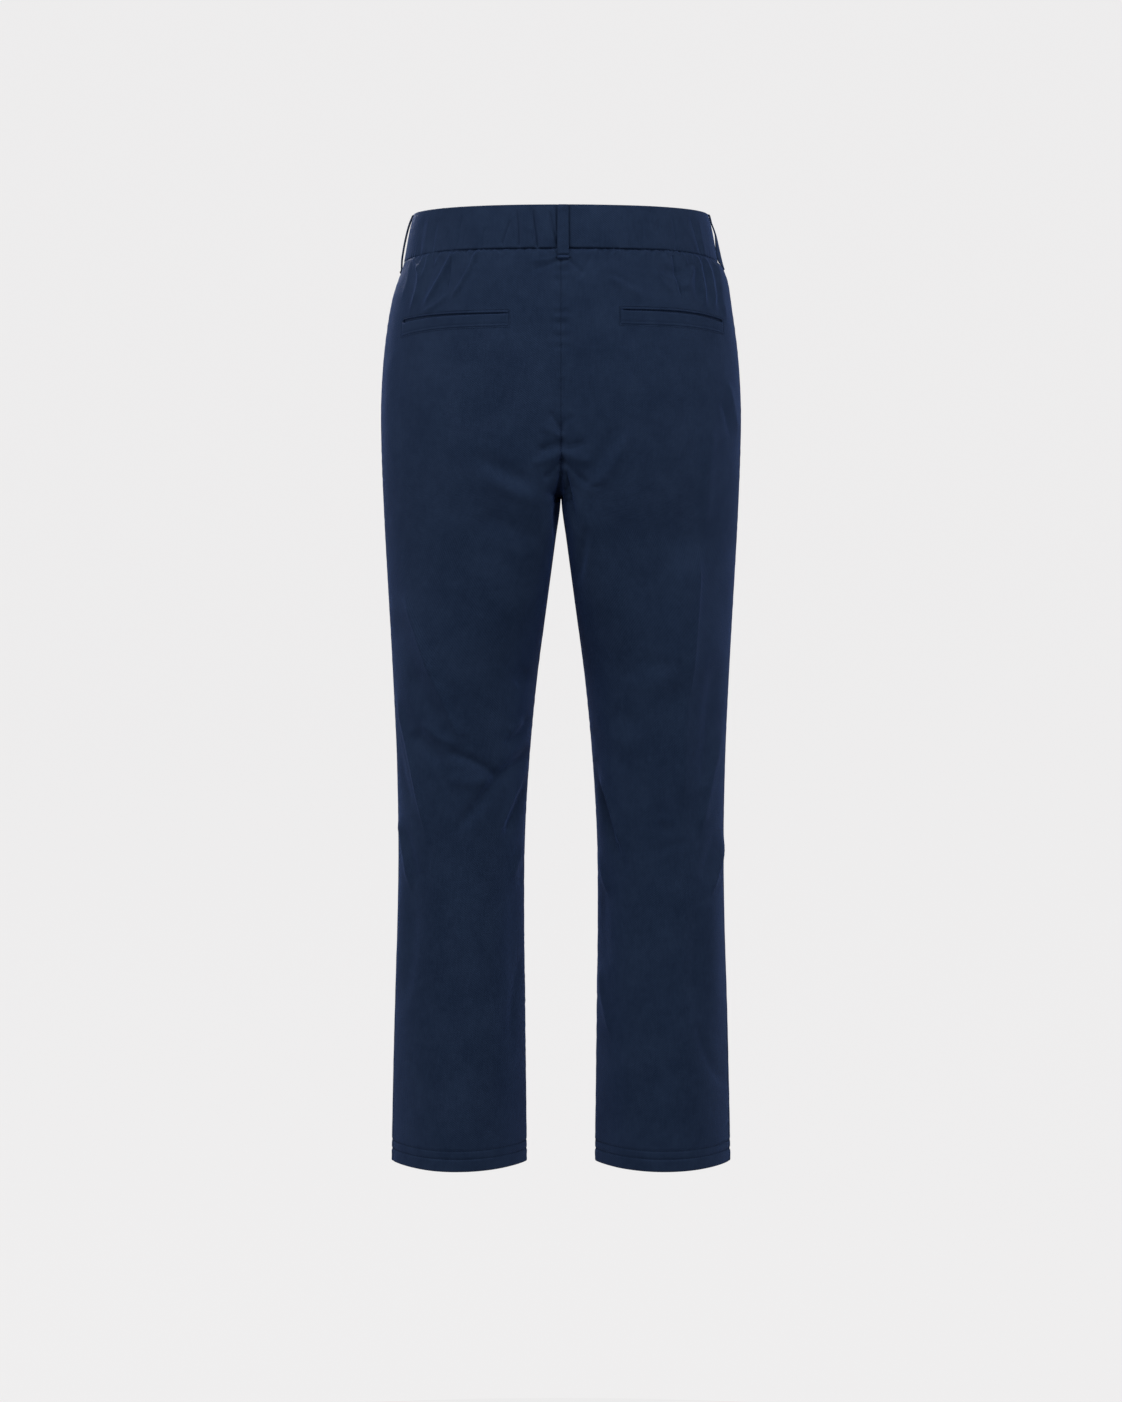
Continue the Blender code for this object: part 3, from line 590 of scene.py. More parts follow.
def fold_field(folds, x, z):
    """Height of all folds at places in the picture plane."""
    moved = np.zeros(x.shape)
    for fold in folds:
        line = fold_line(fold)
        reach = FOLD_REACH * fold.width
        low, high = line.min(axis=0) - reach, line.max(axis=0) + reach
        near = (x > low[0]) & (x < high[0]) & (z > low[1]) & (z < high[1])
        spots = np.column_stack([x[near], z[near]])
        best = np.full(len(spots), 1e9)
        along = np.zeros(len(spots))
        for step in range(FOLD_STEPS):
            run = line[step + 1] - line[step]
            t = np.clip((spots - line[step]) @ run / (run @ run), 0.0, 1.0)
            off = np.linalg.norm(spots - line[step] - t[:, None] * run, axis=1)
            closer = off < best
            best = np.where(closer, off, best)
            along = np.where(closer, (step + t) / FOLD_STEPS, along)
        strength = np.exp(-((best / fold.width) ** fold.crest))
        if fold.held != "start":
            strength *= eased(along / FADE)
        if fold.held != "end":
            strength *= eased((1 - along) / FADE)
        moved[near] += FOLD_STRENGTH * fold.depth * strength
    return moved


# %% [markdown]
# ## Slow waves, gathers and puckers
#
# Cloth that hangs is never as even as its cut. A sum of slow waves, longer up and down than across,
# makes it breathe by a fraction of a millimetre. Under the waistband the elastic gathers the back
# panels into short puckers of uneven length and spacing, and every long seam draws its cloth into a
# fine ditch with small puckers along it. All are worked out from a seeded random row, so that the
# script gives the same cloth each time.

# %% Slow waves
WAVES = 46
WAVE_HEIGHT = 0.0008  # for each metre of a wave's length
rng = np.random.default_rng(20)
wave_lengths = rng.uniform(0.024, 0.120, WAVES)
wave_turns = rng.uniform(0.0, 2 * math.pi, WAVES)
wave_ways = np.column_stack([np.cos(wave_turns), np.sin(wave_turns), rng.normal(0.0, 0.45, WAVES)])
wave_ways /= np.linalg.norm(wave_ways, axis=1, keepdims=True)
wave_phases = rng.uniform(0.0, 2 * math.pi, WAVES)


def waves(points):
    """Height of all slow waves at some points."""
    moved = np.zeros(points.shape[:-1])
    for length, way, phase in zip(wave_lengths, wave_ways, wave_phases):
        moved += WAVE_HEIGHT * length * np.sin(2 * math.pi / length * (points @ way) + phase)
    return moved


# %% Gathers under the elastic
Pucker = namedtuple("Pucker", "along lean width length depth")
GATHERED = 0.205  # the elastic reaches this far along the cloth from the centre back
GATHER_SPREAD = 60  # how much a gather widens for each metre down
GATHER_END = 1.6
gathers = []
spot = -GATHERED
while spot < GATHERED:
    edge = abs(spot) / GATHERED
    depth = rng.uniform(0.0003, 0.0014) * (1 - 0.35 * edge)
    gathers.append(
        Pucker(spot, rng.normal(0.0, 0.35), rng.uniform(0.0009, 0.0020), rng.uniform(0.003, 0.011), depth)
    )
    spot += rng.uniform(0.0026, 0.0068)
print(len(gathers), "gathers")


def gather_field(along, drop):
    """Height of the gathers, by signed distance from the centre back and distance below the seam."""
    moved = np.zeros(along.shape)
    for pucker in gathers:
        off = (along - pucker.along - pucker.lean * drop) / (pucker.width * (1 + GATHER_SPREAD * drop))
        moved += pucker.depth * np.exp(-(off**2) - (drop / pucker.length) ** GATHER_END)
    return moved


# %% Ditches and puckers along the seams
Ditch = namedtuple("Ditch", "depth width pucker")
CENTRE_DITCH = Ditch(0.0009, 0.0012, 0.00016)
LEG_DITCH = Ditch(0.0007, 0.0013, 0.00006)
WAIST_DITCH = 0.0008  # at the sides
WAIST_DITCH_BACK = 0.0021  # and this much more at the centre back
WAIST_ROLL = 0.0019
WAIST_ROLL_BACK = 0.0010
WAIST_UNEVEN = 0.17
PUCKER_REACH = 0.0065
BACK_HALF = 0.13  # the ditch is deep this far from the centre back
PUCKER_WAVES = 7
pucker_waves = [
    (rng.uniform(0.008, 0.022), rng.uniform(0.0, 2 * math.pi)) for _ in range(PUCKER_WAVES)
]


def ripple(along, shift=0.0):
    """Uneven small waves along a seam."""
    return sum(np.sin(2 * math.pi * along / length + phase + shift) for length, phase in pucker_waves)


def seam_field(distance, height, ditch, shift):
    """A ditch at a seam, and puckers across it that fade within a centimetre."""
    puckers = ditch.pucker * ripple(height, shift) * hump(distance, 0.0, PUCKER_REACH)
    return puckers - ditch.depth * np.exp(-distance / ditch.width)


def by_back(distance):
    """1 at the centre back, 0 at the sides, by distance round the waist."""
    return np.exp(-((distance / BACK_HALF) ** 4))


# %% [markdown]
# ## Back pockets are cut into the panels
#
# Each back pocket is a slit under a narrow upper lip, with a welt standing up from below. The panel
# dips under the two, so that the pocket lies flush with the seat and the slit looks into a dark
# hollow. Both lie on a curve that droops towards the side seam.

# %% Pocket places
Pocket = namedtuple("Pocket", "side start end top top_droop bottom bottom_droop")
POCKETS = {
    "left": Pocket("left", 0.0505, 0.1750, -0.0858, 0.0046, -0.0989, 0.0066),
    "right": Pocket("right", 0.0578, 0.1800, -0.0824, 0.0080, -0.0969, 0.0055),
}
DROOP = 3.2  # how suddenly the curve droops near the side
LIP = 0.0027  # height of the upper lip
POCKET_DIP = 0.0017
DIP_EDGE = 0.0012
DIP_INSET = 0.0004  # the dip ends so far inside the strips' edges


def pocket_lines(pocket, along):
    """Heights of the slit and of the welt's lower seam at a share of the pocket's length."""
    droop = np.clip(along, 0.0, 1.0) ** DROOP
    return pocket.top - pocket.top_droop * droop, pocket.bottom - pocket.bottom_droop * droop


def pocket_dip(pocket, across, height):
    """How far the panel dips under the pocket's lip and welt."""
    along = (across - pocket.start) / (pocket.end - pocket.start)
    top, bottom = pocket_lines(pocket, along)
    over = window(height, bottom + DIP_INSET, top + LIP - DIP_INSET, DIP_EDGE)
    ends = window(across, pocket.start + DIP_INSET, pocket.end - DIP_INSET, DIP_EDGE)
    return -POCKET_DIP * over * ends


# %% [markdown]
# ## The two halves, folded and creased
#
# Every height above is a small move along the cloth's own outward direction. The pieces that lie on
# the panels are made from the same cloth, so two versions are kept: one without the pocket's dip for
# those pieces to lie on, and one with it for the panels themselves.

# %% Hem lines, and where folds are held back
HEM_LINES = (0.0125, 0.0205)  # two rows of stitches above the hem's edge
STITCH_DIP = 0.0008
STITCH_DIP_WIDTH = 0.0009
HEM_ROLL = 0.0005

CALM = 0.04  # share of a fold that is left where the cloth faces sideways
CALM_FROM = 0.38
SEWN = 0.15  # and where the waist seam holds it
SEWN_REACH = 0.0030
SEWN_REACH_SIDE = 0.0130  # longer where the cloth turns to the sides
SEWN_SIDE, SEWN_SIDE_FADE = 0.128, 0.016
FRONT_BLEND = 0.022  # the back's folds give way to the front's this far each side of the widest line
RIGHT_SHIFT = 1.7  # the right half's puckers differ from the left's
FAR = 1.0  # further from a seam than anything reaches
GATHER_DROP = 0.04  # no gather reaches lower than this

# %% The hollow beside the fork
# Beside the fork the left thigh's edge turns in and leaves a dark hollow between the thighs. A row
# here is a height, how far left the edge is as seen, and the share of the depth it loses.
TUCKS = np.array([
    (-0.314, 0.0076, 0.00),
    (-0.301, 0.0080, 0.10),
    (-0.291, 0.0082, 0.22),
    (-0.272, 0.0081, 0.30),
    (-0.257, 0.0071, 0.26),
    (-0.248, 0.0048, 0.14),
    (-0.238, 0.0022, 0.00),
])
TUCK_WALL = 0.0014  # how wide its left wall is
TUCK_RIGHT, TUCK_SLOPE = -0.0014, 0.0018  # where it ends on the right, and how slowly


def tucked(points):
    """The cloth with the hollow beside the fork pressed in."""
    across, height = seen(points)
    heights, edges, shares = TUCKS.T
    edge = np.interp(height, heights, edges)
    share = np.interp(height, heights, shares)
    inside = eased((edge - across) / TUCK_WALL) * eased((across - TUCK_RIGHT) / TUCK_SLOPE)
    pressed = points.copy()
    pressed[..., 1] *= 1 - share * inside * (points[..., 1] > 0)
    return pressed

# %% The run from the seat into the right thigh
# On the right the seat runs straight on into the thigh. A row here is how far right a place is as
# seen, and how far back the cloth lies there at the top and at the bottom of the run.
RUNS = np.array([
    (-0.0170, 0.1239, 0.1200),
    (-0.0125, 0.1235, 0.1165),
    (-0.0096, 0.1228, 0.1110),
    (-0.0077, 0.1215, 0.1080),
    (-0.0058, 0.1190, 0.1055),
    (-0.0039, 0.1163, 0.1015),
    (-0.0019, 0.1150, 0.0970),
])
RUN_TOP, RUN_BOTTOM = -0.240, -0.272
RUN_START, RUN_EDGE = 0.0006, 0.0018  # how far right of the centre it starts
RUN_END, RUN_END_FADE = -0.020, 0.004
RUN_FADE = 0.2  # share of its height over which it fades at the top and bottom
RUN_BEHIND = 0.03  # only cloth further back than this moves


def run_on(points):
    """The cloth with the dent between the seat and the right thigh filled out."""
    across, height = seen(points)
    places, tops, bottoms = RUNS.T
    top = np.interp(across, places, tops)
    bottom = np.interp(across, places, bottoms)
    down = (RUN_TOP - height) / (RUN_TOP - RUN_BOTTOM)
    share = window(down, 0.0, 1.0, RUN_FADE) * eased((-across - RUN_START) / RUN_EDGE)
    share *= (points[..., 1] > RUN_BEHIND) * eased((across - RUN_END) / RUN_END_FADE)
    out = points.copy()
    out[..., 1] += share * np.maximum(top + (bottom - top) * down - points[..., 1], 0.0)
    return out

# %% The right hip
# The right hip is fuller than the left just below the waist.
FULLER = 0.0040
FULLER_HEIGHT, FULLER_REACH = -0.036, 0.024
FULLER_START = 0.008  # below the waist seam, over which it comes in
FULLER_TURN, FULLER_FADE = 0.70, 0.25  # how far sideways the cloth has to face


def fuller_hip(points, ways):
    """How far the right hip stands out at the side, below the waist seam."""
    height = points[..., 2]
    band = hump(height, FULLER_HEIGHT, FULLER_REACH) * eased((WAIST_SEAM - height) / FULLER_START)
    return FULLER * band * eased((-ways[..., 0] - FULLER_TURN) / FULLER_FADE)

# %% Both halves of the cloth
Half = namedtuple("Half", "points normals lying across smooth")


def folded_half(side):
    """One half of the garment's cloth, with all that moves it."""
    mirror = np.array([SIDES[side], 1.0, 1.0])
    base = run_on(smooth_points * mirror)
    ways = smooth_normals * mirror
    behind = eased((base[..., 1] + FRONT_BLEND) / (2 * FRONT_BLEND))
    moved = behind * fold_field(BACK_FOLDS, *seen(base))
    moved += (1 - behind) * fold_field(FRONT_FOLDS, *seen(base, -1.0))
    moved += waves(base)
    moved *= CALM + (1 - CALM) * eased(np.abs(ways[..., 1]) / CALM_FROM)
    reach = SEWN_REACH + SEWN_REACH_SIDE * eased((np.abs(base[..., 0]) - SEWN_SIDE) / SEWN_SIDE_FADE)
    moved *= SEWN + (1 - SEWN) * eased((WAIST_SEAM - base[..., 2]) / reach)
    moved += fuller_hip(base, ways)

    seam = BACK_COLUMNS - 1
    across = travelled(base[:, : seam + 1])
    round_front = travelled(base[:, seam:][:, ::-1])[:, ::-1]
    length = across[:, -1:]
    height = base[..., 2]
    to_side = np.concatenate([length - across, round_front[:, :1] - round_front[:, 1:]], axis=1)
    from_centre = np.concatenate([across, np.full(round_front[:, 1:].shape, FAR)], axis=1)
    from_front = np.concatenate([np.full(across[:, :-1].shape, FAR), round_front], axis=1)
    shift = 0.0 if side == "left" else RIGHT_SHIFT
    moved += seam_field(to_side, height, LEG_DITCH, shift)
    is_leg = np.array([row.centre_blend >= 1 for row in cloth_rows])[:, None]
    for distance in (from_centre, from_front):
        moved += np.where(is_leg, seam_field(distance, height, LEG_DITCH, shift), 0.0)
        moved += np.where(is_leg, 0.0, seam_field(distance, height, CENTRE_DITCH, 0.0))

    drop = WAIST_SEAM - height
    round_back = np.concatenate([across, length + to_side[:, seam + 1 :]], axis=1)
    top = drop[:, 0] < GATHER_DROP
    moved[top] += gather_field(SIDES[side] * round_back[top], drop[top])
    at_back = by_back(round_back)
    ditch = WAIST_DITCH + WAIST_DITCH_BACK * at_back
    uneven = 1 + WAIST_UNEVEN * ripple(SIDES[side] * round_back)
    moved -= ditch * hump(drop, 0.0, (WAIST_ROLL + WAIST_ROLL_BACK * at_back) * uneven)
    for line in HEM_LINES:
        moved -= STITCH_DIP * hump(height, HEM + line, STITCH_DIP_WIDTH)
    roll = np.clip(1 - (height - HEM) / HEM_ROLL, 0.0, 1.0)
    moved -= HEM_ROLL * (1 - np.sqrt(1 - roll**2))

    lying = tucked(base + ways * moved[..., None])
    lying[..., 0] = SIDES[side] * np.maximum(SIDES[side] * lying[..., 0], 0.0)
    dip = np.zeros(base.shape[:-1])
    dip[:, : seam + 1] = pocket_dip(POCKETS[side], across, height[:, : seam + 1])
    points = lying + ways * dip[..., None]
    normals = outward(lying, cloth_rows)
    return Half(points, normals, lying, round_back, ways)


halves = {side: folded_half(side) for side in SIDES}
for side, half in halves.items():
    shifts = np.abs(half.lying - smooth_points * [SIDES[side], 1, 1])
    print(side, "half moved by up to", round(float(shifts.max()), 4))

# %% [markdown]
# ## From a grid of points to a piece of cloth
#
# A piece of cloth is a shell: an outer face on the fine grid, an inner face a thickness behind it on
# a coarser one, and rims that join them all round. It could be a single sheet with a Solidify
# modifier. Making both faces here leaves the inner one coarse, so that the outer one can be fine. Each
# piece also gets a UV map in metres of cloth, which the weave follows.

# %% Shells
CLOTH = 0.0008
SHARP = math.radians(50)


def every(count, step):
    """Every few of some indices, and always the last one."""
    return sorted(set(range(0, count, step)) | {count - 1})


def quads(rows, columns, start, wrap, flip):
    """Faces of a grid of points that begins at index start."""
    span = columns if wrap else columns - 1
    row, column = np.meshgrid(np.arange(rows - 1), np.arange(span), indexing="ij")
    after = (column + 1) % columns
    here, below = row * columns, (row + 1) * columns
    corners = [here + column, below + column, below + after, here + after]
    if flip:
        corners.reverse()
    return (np.stack(corners, axis=-1).reshape(-1, 4) + start).tolist()

# %% Meshes
def metres(across, up):
    """A UV map in metres, from distances across and up."""
    return np.stack(np.broadcast_arrays(across, up), axis=-1)


def link_mesh(name, vertices, faces, uv):
    """A mesh object with smooth faces and a UV map in metres."""
    mesh = bpy.data.meshes.new(name)
    mesh.from_pydata(np.asarray(vertices).tolist(), [], faces)
    mesh.calc_loop_triangles()
    corners = np.empty(len(mesh.loop_triangles) * 3, dtype=np.int32)
    mesh.loop_triangles.foreach_get("vertices", corners)
    if np.linalg.det(np.asarray(vertices)[corners.reshape(-1, 3)]).sum() < 0:
        mesh.flip_normals()
    loops = np.empty(len(mesh.loops), dtype=np.int32)
    mesh.loops.foreach_get("vertex_index", loops)
    layer = mesh.uv_layers.new(name="cloth")
    layer.data.foreach_set("uv", np.asarray(uv, dtype=np.float32)[loops].ravel())
    mesh.shade_smooth()
    mesh.set_sharp_from_angle(angle=SHARP)
    return put(name, mesh)

# %% A shell
def shell(name, outer, normals, uv, thickness=CLOTH, coarse=3, wrap=False):
    """A closed piece of cloth from a grid of points. wrap joins its last column to its first."""
    rows, columns = outer.shape[:2]
    down = every(rows, coarse)
    across = list(range(0, columns, 1 if wrap else coarse))
    if not wrap:
        across = every(columns, coarse)
    inner = outer[down][:, across] - normals[down][:, across] * thickness
    start = rows * columns
    width = len(across)
    faces = quads(rows, columns, 0, wrap, False) + quads(len(down), width, start, wrap, True)
    far = rows - 1
    for place in range(width if wrap else width - 1):
        after = (place + 1) % width
        left, right = across[place], across[after] if after else columns
        top = [column % columns for column in range(left, right + 1)]
        bottom = [far * columns + column for column in reversed(top)]
        faces.append(top + [start + after, start + place])
        base = start + (len(down) - 1) * width
        faces.append(bottom + [base + place, base + after])
    if not wrap:
        for place in range(len(down) - 1):
            line = range(down[place], down[place + 1] + 1)
            here, below = start + place * width, start + (place + 1) * width
            last, end = columns - 1, width - 1
            faces.append([row * columns for row in reversed(line)] + [here, below])
            faces.append([row * columns + last for row in line] + [below + end, here + end])
    vertices = np.concatenate([outer.reshape(-1, 3), inner.reshape(-1, 3)])
    maps = np.concatenate([uv.reshape(-1, 2), uv[down][:, across].reshape(-1, 2)])
    return link_mesh(name, vertices, faces, maps)


made = []


def keep(piece, node=None):
    """Every piece rides on the one body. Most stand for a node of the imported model."""
    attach(piece, "root")
    if node:
        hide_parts(node)
    made.append(piece)
    return piece


# %% [markdown]
# ## The four leg panels
#
# The two back panels carry a dart, a pocket and the seat. The two front ones lie behind the side
# seams, and in the picture they are only a thin strip. Each edge stops a tenth of a millimetre from
# its seam line and rolls into the ditch, so the seam shows as a fine dark line, as pressed open seams
# do.

# %% Panels
EDGE = 0.00012


def drawn_in(points, side):
    """A panel's grid with its two long edges a little back from their seams."""
    trimmed = points.copy()
    for edge, inner in ((0, 1), (-1, -2)):
        step = points[:, inner] - points[:, edge]
        step /= np.linalg.norm(step, axis=1, keepdims=True)
        trimmed[:, edge] += step * EDGE
    trimmed[:, :, 0] = SIDES[side] * np.maximum(SIDES[side] * trimmed[:, :, 0], EDGE)
    return trimmed


panels = {}
for side, half in halves.items():
    seam = BACK_COLUMNS - 1
    uv = metres(half.across, half.points[..., 2])
    for panel, part, step in (("back", slice(0, seam + 1), 1), ("front", slice(seam, None), 2)):
        rows = every(len(cloth_rows), step)
        grid = drawn_in(half.points[rows][:, part], side)
        piece = shell(f"cloth_{panel}_{side}", grid, half.normals[rows][:, part], uv[rows][:, part])
        panels[panel, side] = keep(piece, f"{panel}_{side}")
        print(piece.name, len(piece.data.polygons), "faces")

# %% [markdown]
# ## The seat seam's allowances
#
# Behind the seat seam the two panels' edges are pressed open and lie flat against the cloth. They keep
# light from coming through the seam. Both are one strip here, from the back waist seam through the
# fork and up the front to where the fly ends.

# %% Seat seam
ALLOWANCE_COLUMNS = 12
FRONT_SEAM_END = -0.178
SEAM_GAP = 0.0003
SEAM_WALL = 0.0006
SEAM_STEP = 0.002  # of its UV map, for each row
seat_rows = [number for number, row in enumerate(cloth_rows) if row.centre > CROTCH] + [FORK_FOOT]
front_rows = [number for number in reversed(seat_rows[:-1]) if cloth_rows[number].centre < FRONT_SEAM_END]


def round_seam(grids):
    """The columns next to the seam, from right to left, down the back and up the front."""
    left, right = grids
    near = slice(0, ALLOWANCE_COLUMNS)
    back = np.concatenate([right[seat_rows][:, near][:, :0:-1], left[seat_rows][:, near]], axis=1)
    far = slice(-1, -ALLOWANCE_COLUMNS - 1, -1)
    front = np.concatenate([right[front_rows][:, far][:, :0:-1], left[front_rows][:, far]], axis=1)
    return np.concatenate([back, front])


seam_points = round_seam([halves[side].lying for side in SIDES])
seam_ways = round_seam([halves[side].smooth for side in SIDES])
seam_points = seam_points - seam_ways * (CLOTH + SEAM_GAP)
seam_uv = metres(seam_points[..., 0], np.arange(len(seam_points))[:, None] * SEAM_STEP)
keep(shell("cloth_seat_seam", seam_points, seam_ways, seam_uv, SEAM_WALL))
print("seat seam:", seam_points.shape[0], "rows")

# %% [markdown]
# ## Places on the finished cloth
#
# Welts, stitches and the fly need a point of the cloth and its direction there. A place is a height
# and a distance along the cloth from the centre back or the inseam, or a distance under zero from
# the centre front. A point comes from the four grid points round it.

# %% A point of the cloth
row_heights = np.array([row.side for row in cloth_rows])
centre_heights = np.array([row.centre for row in cloth_rows])


def on_cloth(half, along, height, lift=0.0):
    """A point of one half's cloth and its direction out, moved out by lift."""
    heights = centre_heights if along < 0 else row_heights
    place = np.interp(-height, -heights, np.arange(len(heights)))
    above = min(int(place), len(heights) - 2)
    share = place - above
    spots, ways = [], []
    for row in (above, above + 1):
        reached = half.across[row] - (half.across[row, -1] if along < 0 else 0.0)
        column = np.interp(along, reached, np.arange(len(reached)))
        first = min(int(column), half.across.shape[1] - 2)
        part = column - first
        spots.append((1 - part) * half.lying[row, first] + part * half.lying[row, first + 1])
        ways.append((1 - part) * half.normals[row, first] + part * half.normals[row, first + 1])
    point = (1 - share) * spots[0] + share * spots[1]
    way = (1 - share) * ways[0] + share * ways[1]
    way /= np.linalg.norm(way)
    return point + way * lift, way


def cloth_grid(half, alongs, heights, lifts):
    """A grid of points on the cloth: alongs, heights and lifts are arrays of one shape."""
    places = [on_cloth(half, *spot) for spot in zip(alongs.ravel(), heights.ravel(), lifts.ravel())]
    points = np.array([point for point, way in places]).reshape(*alongs.shape, 3)
    ways = np.array([way for point, way in places]).reshape(*alongs.shape, 3)
    return points, ways


# %% [markdown]
# ## Pocket lips and welts
#
# The welt is a folded strip: its free upper edge is round and stands a little proud, and its lower
# edge is sewn down into a ditch. The lip above the slit is the same, but narrow. The slit is widest
# where the seat pulls on it, near the side seam, and closes at both ends where the stitches hold it.

# %% Lips and welts
WELT_COLUMNS = 150
SLIT = {"left": (0.0009, 0.0036), "right": (0.0009, 0.0033)}  # width near the centre and the side
SLIT_START, SLIT_END = 0.06, 0.03  # shares of the slit over which its ends close
SLIT_WIDENS = 1.5
SLIT_LEAST = 0.0001
STRIP_ENDS = 0.0012  # at its ends a strip is pressed down over this length
STRIP_SUNK = 0.0007

# How far a strip stands off the cloth, by the share of its height from its free edge.
WELT_RISES = (
    (0.000, -0.0006), (0.012, 0.0001), (0.035, 0.0006), (0.080, 0.0009), (0.180, 0.0009),
    (0.350, 0.0007), (0.550, 0.0006), (0.740, 0.0005), (0.765, 0.00035), (0.785, 0.0003),
    (0.805, 0.00035), (0.830, 0.0005), (0.920, 0.0005), (0.965, 0.0002), (0.990, -0.0003),
    (1.000, -0.0007),
)
LIP_RISES = (
    (0.00, -0.0006), (0.10, 0.0001), (0.25, 0.0004), (0.50, 0.0004), (0.70, 0.0003), (0.88, 0.0000),
    (0.96, -0.0003), (1.00, -0.0007),
)
STRIP_WALL = 0.0006


def strip(name, pocket, free_edge, sewn_edge, rises):
    """A folded strip between two lines on the cloth, each a height for every column."""
    distance = np.linspace(pocket.start, pocket.end, WELT_COLUMNS)
    shares, lifts = np.array(rises).T[:, :, None]
    heights = free_edge + (sewn_edge - free_edge) * shares
    ends = window(distance, pocket.start, pocket.end, STRIP_ENDS)
    risen = lifts * ends - STRIP_SUNK * (1 - ends)
    alongs = np.broadcast_to(distance, heights.shape)
    points, ways = cloth_grid(halves[pocket.side], alongs, heights, risen)
    return shell(name, points, ways, metres(alongs, heights), STRIP_WALL, coarse=1)


def slit_width(side, along):
    """Width of a pocket's slit at a share of its length."""
    centre, outer = SLIT[side]
    closing = eased(along / SLIT_START) * eased((1 - along) / SLIT_END)
    return (centre + (outer - centre) * along**SLIT_WIDENS) * closing + SLIT_LEAST


for side, pocket in POCKETS.items():
    along = np.linspace(0.0, 1.0, WELT_COLUMNS)
    top, bottom = pocket_lines(pocket, along)
    gap = slit_width(side, along)
    keep(strip(f"cloth_welt_{side}", pocket, top - gap / 2, bottom, WELT_RISES), f"welt_{side}")
    keep(strip(f"cloth_lip_{side}", pocket, top + gap / 2, top + LIP, LIP_RISES), f"welt_{side}")
    print(side, "pocket:", round(pocket.end - pocket.start, 4), "m long, slit up to", round(gap.max(), 4))

# %% [markdown]
# ## Hems
#
# Each leg ends in a turned-up hem, a second layer inside the first. Two rows of stitches hold it, and
# they show outside as fine dents. The inner layer is a ring from the same rows, set in by the cloth's
# thickness, and its lower edge rolls to meet the outer one in a fold.

# %% Hems
HEM_WALL = 0.0007
LAYER_GAP = 0.0002
HEM_SLACK = 0.0006  # a row this little above the hem's top still counts
hem_rows = row_heights < HEM_TOP + HEM_SLACK
for side, half in halves.items():
    grids = (half.lying, half.normals, half.across, half.points[..., 2])
    ring, ways, across, height = (grid[hem_rows][:, :-1:2] for grid in grids)
    hem_points = ring - ways * (CLOTH + LAYER_GAP)
    uv = metres(across, height)
    piece = shell(f"cloth_hem_{side}", hem_points, ways, uv, HEM_WALL, coarse=1, wrap=True)
    keep(piece, f"hem_{side}")
    print(piece.name, len(piece.data.polygons), "faces")

# %% [markdown]
# ## The waistband
#
# The back of the waistband is a folded band with elastic in it. It is modelled as one closed strip
# with round edges: its section, a flat oval, is carried along the waist, and creases that run up and
# down it are pressed into its outer face. The two front halves are stiffened, so they stay smooth,
# and the right one laps over the left one at the centre.

# %% Distances round the waist
BAND_WALL = 0.0026
BAND_FACE = 30  # steps up the outer face
BAND_ROUND = 6  # steps round an edge
BAND_INSIDE = 8
PAST_CENTRE = 0.12  # how far past the two centres the angles run
SEAM_SIZE, SEAM_ROUND = 0.109, 1.1  # the ring's depth and roundness where the side seam meets it
TINY = 0.001
band_angles = np.linspace(-PAST_CENTRE, math.pi + PAST_CENTRE, 1600)
band_middle = body_outline(sections_at(np.zeros(1)), band_angles[None, :])[0]
band_reached = travelled(band_middle)
centre_back = np.interp(0.0, band_angles, band_reached)
centre_front = np.interp(math.pi, band_angles, band_reached)
side_angle = math.acos((SIDE_SEAM / SEAM_SIZE) ** SEAM_ROUND)
side_line = np.interp(side_angle, band_angles, band_reached) - centre_back
HALF_WAIST = centre_front - centre_back
print("half of the waist", round(HALF_WAIST, 4), "m, side seam at", round(side_line, 4))


def waist_points(distances, heights):
    """Points and directions round the waist, by signed distance from the centre back."""
    angles = np.interp(np.abs(distances) + centre_back, band_reached, band_angles)
    size = sections_at(heights)
    flat = body_outline(size, angles[None, :])
    points = np.concatenate([flat, np.broadcast_to(heights[:, None, None], flat.shape[:2] + (1,))], axis=2)
    nearby = body_outline(size, angles[None, :] + TINY) - body_outline(size, angles[None, :] - TINY)
    lower = body_outline(sections_at(heights - TINY), angles[None, :]) - flat
    across = np.concatenate([nearby, np.zeros(nearby.shape[:2] + (1,))], axis=2)
    down = np.concatenate([lower, np.full(lower.shape[:2] + (1,), -TINY)], axis=2)
    ways = np.cross(across, down)
    ways /= np.linalg.norm(ways, axis=2, keepdims=True)
    turn = np.where(distances < 0, -1.0, 1.0)[None, :, None] * np.array([1.0, 0, 0]) + np.array([0, 1.0, 1.0])
    return points * turn, ways * turn


